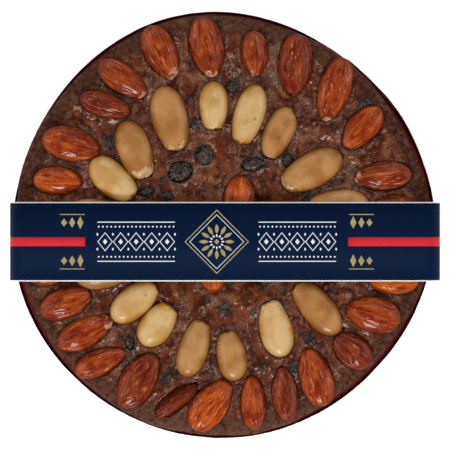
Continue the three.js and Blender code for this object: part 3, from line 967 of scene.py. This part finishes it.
def chain(side):
    """Open lozenges in a row between beads and two lines, to one side of the print's middle."""
    start = PRINT_MIDDLE + min(side * CHAIN_START, side * CHAIN_END)
    end = start + CHAIN_END - CHAIN_START
    pitch = (end - start) / CHAIN_LINKS
    bead_pitch = (end - start - 2 * BEAD_INSET) / (CHAIN_BEADS - 1)
    shapes = []
    for link in range(CHAIN_LINKS):
        x = start + (link + 0.5) * pitch
        shapes += lozenge_frame(x, BAND_Y, pitch, 8.0, 0.4)
        shapes.append(lozenge(x, BAND_Y, 1.9, 2.4))
    for up in (-1, 1):
        line = BAND_Y + up * 8.2
        shapes.append(bar(start, end, line - 0.2, line + 0.2))
        for link in range(CHAIN_LINKS + 1):
            shapes.append(lozenge(start + link * pitch, BAND_Y + up * 3.1, 0.9, 1.4))
        for bead in range(CHAIN_BEADS):
            x = start + BEAD_INSET + bead * bead_pitch
            shapes.append(lozenge(x, BAND_Y + up * 6.3, 0.9, 0.9))
    return shapes


def end_marks(side):
    """Three small lozenges and a line, above and below the stripe's inner end."""
    middle = PRINT_MIDDLE + side * (STRIPE_ENDS[0] - PRINT_MIDDLE + 5.5)
    shapes = []
    for up in (-1, 1):
        for step in (-1, 0, 1):
            shapes.append(lozenge(middle + side * 3.4 * step, BAND_Y + up * 8.0, 2.6, 4.4 - step))
        line = BAND_Y + up * 11.4
        shapes.append(bar(middle - 5.2, middle + 5.2, line - 0.18, line + 0.18))
    return shapes


def make_print(white_ink, gold_ink):
    """A plain ornament: a lozenge with a rosette in the middle, and a chain of lozenges to each side."""
    large, small = LOZENGE_SIZES
    gold = lozenge_frame(PRINT_MIDDLE, BAND_Y, large, large, 0.55)
    gold += rosette(PRINT_MIDDLE, BAND_Y, PETALS, 3.4, 7.4, 1.5)
    gold.append(lozenge(PRINT_MIDDLE, BAND_Y, 2.2, 2.2))
    white = lozenge_frame(PRINT_MIDDLE, BAND_Y, small, small, 0.35)
    white += rosette(PRINT_MIDDLE, BAND_Y, PETALS, 1.9, 3.2, 0.7)
    for side in (-1, 1):
        white += chain(side)
        gold += end_marks(side)
    printed_marks("band_print_white", white, white_ink)
    printed_marks("band_print_gold", gold, gold_ink)


# Materials


def new_material(name, **sockets):
    """A new material with one Principled shader whose uniform values sit on its own sockets."""
    material = bpy.data.materials.new(name)
    material.use_nodes = True
    tree = material.node_tree
    shader = tree.nodes["Principled BSDF"]
    for key, value in sockets.items():
        shader.inputs[key.replace("_", " ")].default_value = value
    return material, tree, shader


def add(tree, kind, links=None, output=0, **settings):
    """Adds one node with its settings, sets or links its inputs, and gives one of its outputs."""
    node = tree.nodes.new(kind)
    for key, value in settings.items():
        setattr(node, key, value)
    for key, value in (links or {}).items():
        if isinstance(value, bpy.types.NodeSocket):
            tree.links.new(value, node.inputs[key])
        else:
            node.inputs[key].default_value = value
    return node.outputs[output]


def crust_material():
    """Baked fruit cake under a brushed sugar glaze: dark crumb, red-brown fruit, pale dried sugar and
    painted highlights along the folds and round the nuts, painted shade in the crevices and pores, and a
    half-gloss skin that turns dry and pitted at the rim."""
    material, tree, shader = new_material(
        "baked_fruit_cake_glazed", IOR=1.45, Specular_IOR_Level=0.12, Coat_Roughness=0.1
    )
    place = add(tree, "ShaderNodeTexCoord", output="Object")
    keys = ("sultana", "dark_fruit", "shade_in_hollows", "rim", "rim_light", "stain", "middle", "lip")
    field = {key: add(tree, "ShaderNodeAttribute", output="Fac", attribute_name=key) for key in keys}
    noise = {}
    for key, size, detail, bend in (
        ("cloud", 8 * MM, 3, 0.8), ("shade", 4.2 * MM, 3, 1.0), ("crumb", 1.0 * MM, 3, 0.0),
        ("fold", 7.0 * MM, 1, 1.8), ("wrinkle", 3.0 * MM, 2, 1.2), ("patch", 10 * MM, 3, 0.6),
        ("break", 4.2 * MM, 2, 0.0), ("grit", 1.8 * MM, 4, 0.0),
    ):
        links = {"Vector": place, "Scale": 1 / size, "Detail": detail, "Distortion": bend}
        noise[key] = add(tree, "ShaderNodeTexNoise", links)

    share = {}
    for key, source, least, most, strength in (
        ("cloud", noise["cloud"], 0.4, 0.6, 1.0),
        ("middle", field["middle"], 0.0, 1.0, 0.5),
        ("light", noise["shade"], 0.54, 0.64, 0.7),
        ("deep", noise["cloud"], 0.47, 0.41, 0.8),
        ("dusk", noise["shade"], 0.46, 0.36, 0.8),
        ("red", field["sultana"], 0.0, 1.0, 0.88),
        ("rim", field["rim"], 0.0, 1.0, 0.85),
        ("film", noise["patch"], 0.58, 0.68, 0.5),
        ("worn", noise["grit"], 0.5, 0.66, 0.5),
        ("pitted", noise["grit"], 0.46, 0.34, 1.0),
        ("speck", noise["crumb"], 0.36, 0.27, 0.45),
        ("black", field["dark_fruit"], 0.0, 1.0, 0.85),
        ("flake", noise["crumb"], 0.52, 0.64, 0.4),
        ("patch", noise["patch"], 0.46, 0.58, 1.0),
        ("broken", noise["break"], 0.4, 0.5, 1.0),
        ("glazed", field["rim"], 0.95, 0.4, 0.68),
    ):
        links = {0: source, 1: least, 2: most, 3: 0.0, 4: strength}
        share[key] = add(tree, "ShaderNodeMapRange", links)
    for key, first, second in (
        ("pale_rim", share["rim"], field["rim_light"]),
        ("worn", share["worn"], share["rim"]),
        ("pitted", share["pitted"], share["rim"]),
        ("flake", share["flake"], field["dark_fruit"]),
        ("shadow", field["shade_in_hollows"], noise["break"]),
    ):
        share[key] = add(tree, "ShaderNodeMath", {0: first, 1: second}, operation="MULTIPLY")

    # Dried sugar and painted highlights lie in thin broken lines along the folds, in some patches and round
    # every nut
    lines = {}
    for key, width in (("fold", 0.02), ("wrinkle", 0.022)):
        away = add(tree, "ShaderNodeMath", {0: noise[key], 1: 0.5}, operation="SUBTRACT")
        away = add(tree, "ShaderNodeMath", {0: away}, operation="ABSOLUTE")
        lines[key] = add(tree, "ShaderNodeMapRange", {0: away, 1: width, 2: 0.3 * width})
    ridges = add(tree, "ShaderNodeMath", {0: lines["fold"], 1: lines["wrinkle"]}, operation="MAXIMUM")
    links = {0: share["patch"], 1: field["lip"]}
    where = add(tree, "ShaderNodeMath", links, operation="ADD", use_clamp=True)
    sugar_and_highlight = ridges
    for part in (where, share["broken"], share["glazed"]):
        sugar_and_highlight = add(tree, "ShaderNodeMath", {0: sugar_and_highlight, 1: part}, operation="MULTIPLY")

    links = {0: share["cloud"], 6: srgb("#541E0A"), 7: srgb("#6A3016")}
    colour = add(tree, "ShaderNodeMix", links, output=2, data_type="RGBA")
    for part, code in (
        (share["middle"], "#743818"), (share["light"], "#82502F"), (share["deep"], "#3A0F05"),
        (share["dusk"], "#2C0F07"), (share["red"], "#602008"), (share["rim"], "#3C1D12"),
        (share["film"], "#70503E"), (share["pale_rim"], "#624030"), (share["worn"], "#74503F"),
        (share["pitted"], "#2E140C"), (share["speck"], "#200E07"), (share["black"], "#1F1A19"),
        (share["flake"], "#6E665E"), (sugar_and_highlight, "#BC947A"), (share["shadow"], "#240E06"),
        (field["stain"], "#6A181C"),
    ):
        links = {0: part, 6: colour, 7: srgb(code)}
        colour = add(tree, "ShaderNodeMix", links, output=2, data_type="RGBA")
    tree.links.new(colour, shader.inputs["Base Color"])

    glaze = add(tree, "ShaderNodeMapRange", {0: field["rim"], 1: 0.0, 2: 0.8, 3: 0.26, 4: 0.0})
    tree.links.new(glaze, shader.inputs["Coat Weight"])
    gloss = add(tree, "ShaderNodeMapRange", {0: noise["shade"], 1: 0.35, 2: 0.65, 3: 0.34, 4: 0.6})
    dry = add(tree, "ShaderNodeMath", {0: field["rim"], 1: 0.25}, operation="MULTIPLY")
    gloss = add(tree, "ShaderNodeMath", {0: gloss, 1: dry}, operation="ADD")
    tree.links.new(gloss, shader.inputs["Roughness"])
    links = {}
    for height, depth, strength in (
        (noise["shade"], 1.2 * MM, 0.5), (ridges, 0.5 * MM, 0.6), (noise["crumb"], 0.4 * MM, 0.18),
    ):
        links |= {"Height": height, "Distance": depth, "Strength": strength}
        links["Normal"] = add(tree, "ShaderNodeBump", links)
    tree.links.new(links["Normal"], shader.inputs["Normal"])
    return material


def crumb_material():
    """Dry cake crumbs and sugar grains: matt, from dark brown to pale pinkish grey."""
    material, tree, shader = new_material("loose_crumb_dry", Roughness=0.6, IOR=1.45)
    place = add(tree, "ShaderNodeTexCoord", output="Object")
    tone = add(tree, "ShaderNodeAttribute", output="Fac", attribute_name="tone")
    speck = add(tree, "ShaderNodeTexNoise", {"Vector": place, "Scale": 1 / (0.4 * MM), "Detail": 2})
    pale = add(tree, "ShaderNodeMapRange", {0: tone, 1: 0.55, 2: 1.0})
    dark = add(tree, "ShaderNodeMapRange", {0: speck, 1: 0.55, 2: 0.35, 3: 0.0, 4: 0.5})
    colour = srgb("#4A2A1C")
    for part, code in ((pale, "#A08A80"), (dark, "#24120B")):
        links = {0: part, 6: colour, 7: srgb(code)}
        colour = add(tree, "ShaderNodeMix", links, output=2, data_type="RGBA")
    tree.links.new(colour, shader.inputs["Base Color"])
    return material


def nut_skin_material():
    """Roasted almond skin, wrinkled lengthwise and thinly glazed: orange ridges, red-brown grooves,
    deep red where the glaze has soaked in, pale where the tip is chipped, painted glints along the
    grain, and a darker flank that is partly painted shade."""
    material, tree, shader = new_material(
        "almond_skin_glazed", IOR=1.45, Specular_IOR_Level=0.06, Coat_Roughness=0.1
    )
    place = add(tree, "ShaderNodeTexCoord", output="Object")
    grain = add(tree, "ShaderNodeAttribute", output="Vector", attribute_name="grain")  # in millimetres
    keys = ("streak", "chip", "flank", "tone")
    field = {key: add(tree, "ShaderNodeAttribute", output="Fac", attribute_name=key) for key in keys}
    noise = {}
    for key, source, size, detail in (
        ("vein", grain, 0.9, 3), ("broad", grain, 2.6, 2), ("fine", grain, 0.45, 1),
        ("blotch", place, 6 * MM, 3), ("speck", place, 0.8 * MM, 2),
    ):
        links = {"Vector": source, "Scale": 1 / size, "Detail": detail}
        noise[key] = add(tree, "ShaderNodeTexNoise", links)

    share = {}
    for key, source, least, most, strength in (
        ("ridge", field["streak"], -0.6, 0.6, 0.5),
        ("broad", noise["broad"], 0.38, 0.62, 0.5),
        ("soaked", noise["blotch"], 0.52, 0.66, 0.75),
        ("groove", noise["vein"], 0.46, 0.34, 0.8),
        ("line", noise["vein"], 0.6, 0.74, 0.55),
        # partly painted shade: the flank darkens towards the crust, as well as the skin's own darker
        # red-brown
        ("edge", field["flank"], 0.45, 1.0, 0.85),
        # painted highlight: pale pink flecks along the grain stand in for the glaze's glints
        ("painted_glint", noise["fine"], 0.68, 0.76, 0.65),
        ("torn", field["chip"], 0.0, 1.0, 0.85),
    ):
        links = {0: source, 1: least, 2: most, 3: 0.0, 4: strength}
        share[key] = add(tree, "ShaderNodeMapRange", links)
    high = add(tree, "ShaderNodeMath", {0: share["ridge"], 1: share["broad"]}, operation="ADD")

    shades = []
    for dull, lively in (("#541608", "#8E2A06"), ("#8E3A16", "#CC6018")):
        links = {0: field["tone"], 6: srgb(dull), 7: srgb(lively)}
        shades.append(add(tree, "ShaderNodeMix", links, output=2, data_type="RGBA"))
    colour = add(tree, "ShaderNodeMix", {0: high, 6: shades[0], 7: shades[1]}, output=2, data_type="RGBA")
    # the flecks are painted glints, and the flank's dark edge colour is partly painted shade
    for key, code in (
        ("soaked", "#741202"), ("groove", "#541404"), ("line", "#D48C4C"), ("edge", "#480E05"),
        ("painted_glint", "#DCA886"), ("torn", "#C89474"),
    ):
        links = {0: share[key], 6: colour, 7: srgb(code)}
        colour = add(tree, "ShaderNodeMix", links, output=2, data_type="RGBA")
    tree.links.new(colour, shader.inputs["Base Color"])

    glaze = add(tree, "ShaderNodeMapRange", {0: field["flank"], 1: 0.3, 2: 0.75, 3: 0.3, 4: 0.0})
    tree.links.new(glaze, shader.inputs["Coat Weight"])
    gloss = add(tree, "ShaderNodeMapRange", {0: noise["speck"], 1: 0.3, 2: 0.7, 3: 0.3, 4: 0.55})
    tree.links.new(gloss, shader.inputs["Roughness"])
    links = {}
    for key, depth, strength in (("vein", 0.6 * MM, 0.9), ("speck", 0.3 * MM, 0.7)):
        links |= {"Height": noise[key], "Distance": depth, "Strength": strength}
        links["Normal"] = add(tree, "ShaderNodeBump", links)
    tree.links.new(links["Normal"], shader.inputs["Normal"])
    return material


def blanched_material():
    """Peeled almond, lightly toasted under a thin glaze: waxy cream on top, golden brown round its edge,
    darkest at the outer flank, partly from pooled glaze and partly painted shade.
    """
    material, tree, shader = new_material(
        "blanched_almond_toasted", IOR=1.45, Specular_IOR_Level=0.2, Coat_Roughness=0.18,
        Subsurface_Weight=0.08, Subsurface_Radius=(1.4 * MM, 0.8 * MM, 0.4 * MM), Subsurface_Scale=1.0,
    )
    place = add(tree, "ShaderNodeTexCoord", output="Object")
    grain = add(tree, "ShaderNodeAttribute", output="Vector", attribute_name="grain")  # in millimetres
    keys = ("chip", "flank", "tone")
    field = {key: add(tree, "ShaderNodeAttribute", output="Fac", attribute_name=key) for key in keys}
    noise = {}
    for key, source, size, detail in (
        ("vein", grain, 1.8, 3), ("blotch", place, 9 * MM, 3), ("freckle", place, 3.4 * MM, 1),
        ("speck", place, 0.8 * MM, 2),
    ):
        links = {"Vector": source, "Scale": 1 / size, "Detail": detail}
        noise[key] = add(tree, "ShaderNodeTexNoise", links)

    share = {}
    for key, source, least, most, strength in (
        ("toast", field["flank"], 0.22, 0.85, 1.0),
        ("uneven", noise["blotch"], 0.45, 0.62, 0.6),
        ("faint", noise["vein"], 0.46, 0.3, 0.22),
        ("spot", noise["freckle"], 0.735, 0.76, 0.6),
        # partly painted shade: the outer flank darkens, as well as where the glaze pools
        ("edge", field["flank"], 0.6, 0.96, 0.85),
        ("torn", field["chip"], 0.0, 1.0, 0.6),
    ):
        links = {0: source, 1: least, 2: most, 3: 0.0, 4: strength}
        share[key] = add(tree, "ShaderNodeMapRange", links)
    links = {0: share["toast"], 1: share["uneven"]}
    toast = add(tree, "ShaderNodeMath", links, operation="ADD", use_clamp=True)

    shades = []
    for toasted, pale in (("#B6804A", "#D3AF7A"), ("#8E5415", "#B67E2A")):
        links = {0: field["tone"], 6: srgb(toasted), 7: srgb(pale)}
        shades.append(add(tree, "ShaderNodeMix", links, output=2, data_type="RGBA"))
    colour = add(tree, "ShaderNodeMix", {0: toast, 6: shades[0], 7: shades[1]}, output=2, data_type="RGBA")
    # edge is partly painted shade on the outer flank
    for key, code in (("faint", "#96642E"), ("spot", "#7A4418"), ("edge", "#734210"), ("torn", "#DABC8C")):
        links = {0: share[key], 6: colour, 7: srgb(code)}
        colour = add(tree, "ShaderNodeMix", links, output=2, data_type="RGBA")
    tree.links.new(colour, shader.inputs["Base Color"])

    glaze = add(tree, "ShaderNodeMapRange", {0: field["flank"], 1: 0.35, 2: 0.75, 3: 0.24, 4: 0.0})
    tree.links.new(glaze, shader.inputs["Coat Weight"])
    gloss = add(tree, "ShaderNodeMapRange", {0: noise["speck"], 1: 0.3, 2: 0.7, 3: 0.34, 4: 0.5})
    tree.links.new(gloss, shader.inputs["Roughness"])
    links = {}
    for key, depth, strength in (("vein", 0.3 * MM, 0.35), ("speck", 0.12 * MM, 0.4)):
        links |= {"Height": noise[key], "Distance": depth, "Strength": strength}
        links["Normal"] = add(tree, "ShaderNodeBump", links)
    tree.links.new(links["Normal"], shader.inputs["Normal"])
    return material


def dried_fruit_material(name, skin, bloom, crease, roughness):
    """Dried fruit skin, sticky from the glaze: painted shade darkening the creases, a dull bloom on the
    folds and small wet highlights."""
    material, tree, shader = new_material(
        name, IOR=1.45, Specular_IOR_Level=0.25, Coat_Weight=0.35, Coat_Roughness=0.14
    )
    place = add(tree, "ShaderNodeTexCoord", output="Object")
    shade_in_hollows = add(tree, "ShaderNodeAttribute", output="Fac", attribute_name="crease")
    grain = add(tree, "ShaderNodeTexNoise", {"Vector": place, "Scale": 1 / (0.8 * MM), "Detail": 3})
    away = add(tree, "ShaderNodeMath", {0: grain, 1: 0.52}, operation="SUBTRACT")
    away = add(tree, "ShaderNodeMath", {0: away}, operation="ABSOLUTE")
    dull = add(tree, "ShaderNodeMapRange", {0: away, 1: 0.05, 2: 0.01, 3: 0.0, 4: 0.7})
    colour = srgb(skin)
    # the crease colour is painted shade in the creases
    for part, code in ((dull, bloom), (shade_in_hollows, crease)):
        links = {0: part, 6: colour, 7: srgb(code)}
        colour = add(tree, "ShaderNodeMix", links, output=2, data_type="RGBA")
    tree.links.new(colour, shader.inputs["Base Color"])
    links = {0: grain, 1: 0.3, 2: 0.7, 3: roughness - 0.1, 4: roughness + 0.1}
    gloss = add(tree, "ShaderNodeMapRange", links)
    tree.links.new(gloss, shader.inputs["Roughness"])
    bump = add(tree, "ShaderNodeBump", {"Height": grain, "Distance": 0.4 * MM, "Strength": 0.6})
    tree.links.new(bump, shader.inputs["Normal"])
    return material


def collar_material():
    """Burgundy baking paper, rolled smooth: an even dark face with faint fibres and a greyer cut edge.

    Real fibres are too fine to show, so they are drawn coarser.
    """
    material, tree, shader = new_material("baking_paper_dyed", IOR=1.4, Specular_IOR_Level=0.25)
    place = add(tree, "ShaderNodeTexCoord", output="Object")
    cut = add(tree, "ShaderNodeAttribute", output="Fac", attribute_name="cut_edge")
    fibre = add(tree, "ShaderNodeTexNoise", {"Vector": place, "Scale": 1 / (0.7 * MM), "Detail": 5})
    shade = add(tree, "ShaderNodeMapRange", {0: fibre, 1: 0.3, 2: 0.7})
    colour = srgb("#5C0A14")
    for part, code in ((shade, "#741220"), (cut, "#44141A")):
        links = {0: part, 6: colour, 7: srgb(code)}
        colour = add(tree, "ShaderNodeMix", links, output=2, data_type="RGBA")
    tree.links.new(colour, shader.inputs["Base Color"])
    gloss = add(tree, "ShaderNodeMapRange", {0: fibre, 1: 0.3, 2: 0.7, 3: 0.45, 4: 0.65})
    tree.links.new(gloss, shader.inputs["Roughness"])
    bump = add(tree, "ShaderNodeBump", {"Height": fibre, "Distance": 0.05 * MM, "Strength": 0.5})
    tree.links.new(bump, shader.inputs["Normal"])
    return material


def ink_material(name, low, high, roughness, reflection):
    """Coated card printed with one flat ink: an even, matt colour with the card's faint grain.

    The card's real grain is too fine to show, so it is drawn coarser.
    """
    material, tree, shader = new_material(name, IOR=1.45, Specular_IOR_Level=reflection)
    place = add(tree, "ShaderNodeTexCoord", output="Object")
    fibre = add(tree, "ShaderNodeTexNoise", {"Vector": place, "Scale": 1 / (0.6 * MM), "Detail": 4})
    shade = add(tree, "ShaderNodeMapRange", {0: fibre, 1: 0.3, 2: 0.7})
    colour = add(tree, "ShaderNodeMix", {0: shade, 6: srgb(low), 7: srgb(high)}, output=2, data_type="RGBA")
    tree.links.new(colour, shader.inputs["Base Color"])
    links = {0: fibre, 1: 0.3, 2: 0.7, 3: roughness - 0.05, 4: roughness + 0.08}
    gloss = add(tree, "ShaderNodeMapRange", links)
    tree.links.new(gloss, shader.inputs["Roughness"])
    bump = add(tree, "ShaderNodeBump", {"Height": fibre, "Distance": 0.03 * MM, "Strength": 0.4})
    tree.links.new(bump, shader.inputs["Normal"])
    return material


# Put together


def make_toppings():
    """Almonds and dried fruit over their own solids, and the small fruit that the cake's solid holds."""
    skins = measure_solids("skin_almond", partial(nut_girth, tip=SKIN_TIP), NUT_MEASURED)
    peeled = measure_solids("blanched_almond", partial(nut_girth, tip=BLANCHED_TIP), NUT_MEASURED)
    raisins = measure_solids("raisin", sphere_girth, 0.0)
    nut_skin = nut_skin_material()
    blanched = blanched_material()
    raisin = dried_fruit_material("raisin_skin_dried", "#2B1A11", "#725A46", "#100805", 0.4)
    dusty = dried_fruit_material("raisin_skin_sugared", "#3A281C", "#7E6A58", "#180E08", 0.5)
    sultana = dried_fruit_material("sultana_skin_soaked", "#54200F", "#7A4428", "#2C0E07", 0.36)
    peel = dried_fruit_material("orange_peel_candied", "#A8622C", "#CE8C50", "#6E3412", 0.36)
    for number, solid in enumerate(skins, start=1):
        tone = nut_tone(number, DARK_SKINS, BRIGHT_SKINS)
        make_nut(solid, number, tone, SKIN_RIDGE, nut_skin)
    for number, solid in enumerate(peeled, start=1):
        tone = nut_tone(number, TOASTED_NUTS, PALE_NUTS)
        make_nut(solid, PEELED_START + number, tone, PEELED_RIDGE, blanched)
    for number, solid in enumerate(raisins, start=1):
        make_raisin(solid, number, {BROWN_RAISIN: sultana, DUSTY_RAISIN: dusty}.get(number, raisin))
    make_small_fruit("currants", CURRANTS, CURRANT_SIZE, CURRANT_PROUD, 0.12, raisin)
    make_small_fruit("sultanas", SULTANA_TOPS, CURRANT_SIZE, SULTANA_PROUD, 0.05, sultana)
    make_small_fruit("candied_peel", PEELS, PEEL_SIZE, PEEL_PROUD, 0.08, peel)
    return skins + peeled + raisins


def make_band():
    """The card, its navy ink, the red stripe and the printed marks, from the card outward."""
    navy = ink_material("coated_card_navy_ink", "#051732", "#081D3C", 0.55, 0.05)
    white_card = ink_material("coated_card_bare", "#EFEDEA", "#FAF8F5", 0.5, 0.3)
    white_ink = ink_material("coated_card_white_ink", "#DDDEE0", "#EAEBEC", 0.5, 0.3)
    red_ink = ink_material("coated_card_red_ink", "#D2242C", "#DE2C34", 0.5, 0.1)
    gold_ink = ink_material("coated_card_gold_ink", "#8F8050", "#BBA877", 0.45, 0.5)
    band_strip("band_card", CARD_INSET, CARD - CARD_INSET, BAND_WIDTH, white_card)
    band_strip("band_navy", NAVY_INSET, CARD_INSET - NAVY_INSET, BAND_WIDTH - 2 * BORDER, navy)
    band_strip("band_stripe", 0.0, INK, STRIPE_WIDTH, red_ink, STRIPE_ENDS)
    make_print(white_ink, gold_ink)


toppings = make_toppings()
top_points, topping_gap, inside_edge = make_crust(toppings, crust_material())
make_crumbs(top_points, topping_gap, inside_edge, crumb_material())
make_collar(collar_material())
make_band()

# Camera, floor and light

PHOTO_SIZE = 450
MM_PER_PIXEL = 0.42
CAMERA_DISTANCE = 2000 * MM
SUBJECT_HEIGHT = 44 * MM
SENSOR = 36  # millimetres, as the lens
FLOOR_REACH = 3.0
FLOOR_LEVEL = -0.1 * MM  # a hair below the band, so that the two never share a plane
LIGHT_TARGET = Vector((0, 0, 0.04))
LIGHTS = (  # name, place and size in metres, power in watts
    ("key", (-0.12, -0.95, 0.85), 0.36, 9.5),
    ("right_fill", (1.1, 0.1, 0.9), 1.0, 5.6),
    ("left_fill", (-1.1, 0.1, 0.9), 1.0, 5.6),
    ("back_fill", (0.1, 1.1, 0.9), 1.0, 4.8),
)
WORLD_STRENGTH = 0.22


def make_camera():
    """Straight above, as the photograph was taken."""
    data = bpy.data.cameras.new("camera")
    camera = bpy.data.objects.new("camera", data)
    bpy.context.scene.collection.objects.link(camera)
    camera.location = (0, 0, SUBJECT_HEIGHT + CAMERA_DISTANCE)
    data.sensor_width = SENSOR
    data.lens = SENSOR * CAMERA_DISTANCE / (PHOTO_SIZE * MM_PER_PIXEL * MM)
    data.clip_end = 100
    bpy.context.scene.camera = camera


def make_floor():
    """A backlit white acrylic table, as pack photographs are taken on: even, with almost no shadow."""
    material, _, _ = new_material(
        "white_acrylic_backlit", Base_Color=srgb("#FBFBFB"), Roughness=0.9, Specular_IOR_Level=0.1,
        Emission_Color=(1.0, 1.0, 1.0, 1.0), Emission_Strength=0.6,
    )
    mesh = bpy.data.meshes.new("floor")
    sides = ((-1, -1), (1, -1), (1, 1), (-1, 1))
    corners = [(x * FLOOR_REACH, y * FLOOR_REACH, FLOOR_LEVEL) for x, y in sides]
    mesh.from_pydata(corners, [], [(0, 1, 2, 3)])
    mesh.materials.append(material)
    floor = bpy.data.objects.new("floor", mesh)
    bpy.context.scene.collection.objects.link(floor)


def add_light(name, place, size, power):
    """A soft square light that faces the cake's top."""
    data = bpy.data.lights.new(name, "AREA")
    data.shape = "SQUARE"
    data.size = size
    data.energy = power
    light = bpy.data.objects.new(name, data)
    bpy.context.scene.collection.objects.link(light)
    light.location = place
    light.rotation_euler = (LIGHT_TARGET - Vector(place)).to_track_quat("-Z", "Y").to_euler()


def make_studio():
    """Even white light from all round, and colours shown as they are."""
    world = bpy.data.worlds.new("studio")
    bpy.context.scene.world = world
    world.use_nodes = True
    background = world.node_tree.nodes["Background"]
    background.inputs["Color"].default_value = (1, 1, 1, 1)
    background.inputs["Strength"].default_value = WORLD_STRENGTH
    bpy.context.scene.view_settings.view_transform = "Standard"


make_camera()
make_floor()
for light in LIGHTS:
    add_light(*light)
make_studio()
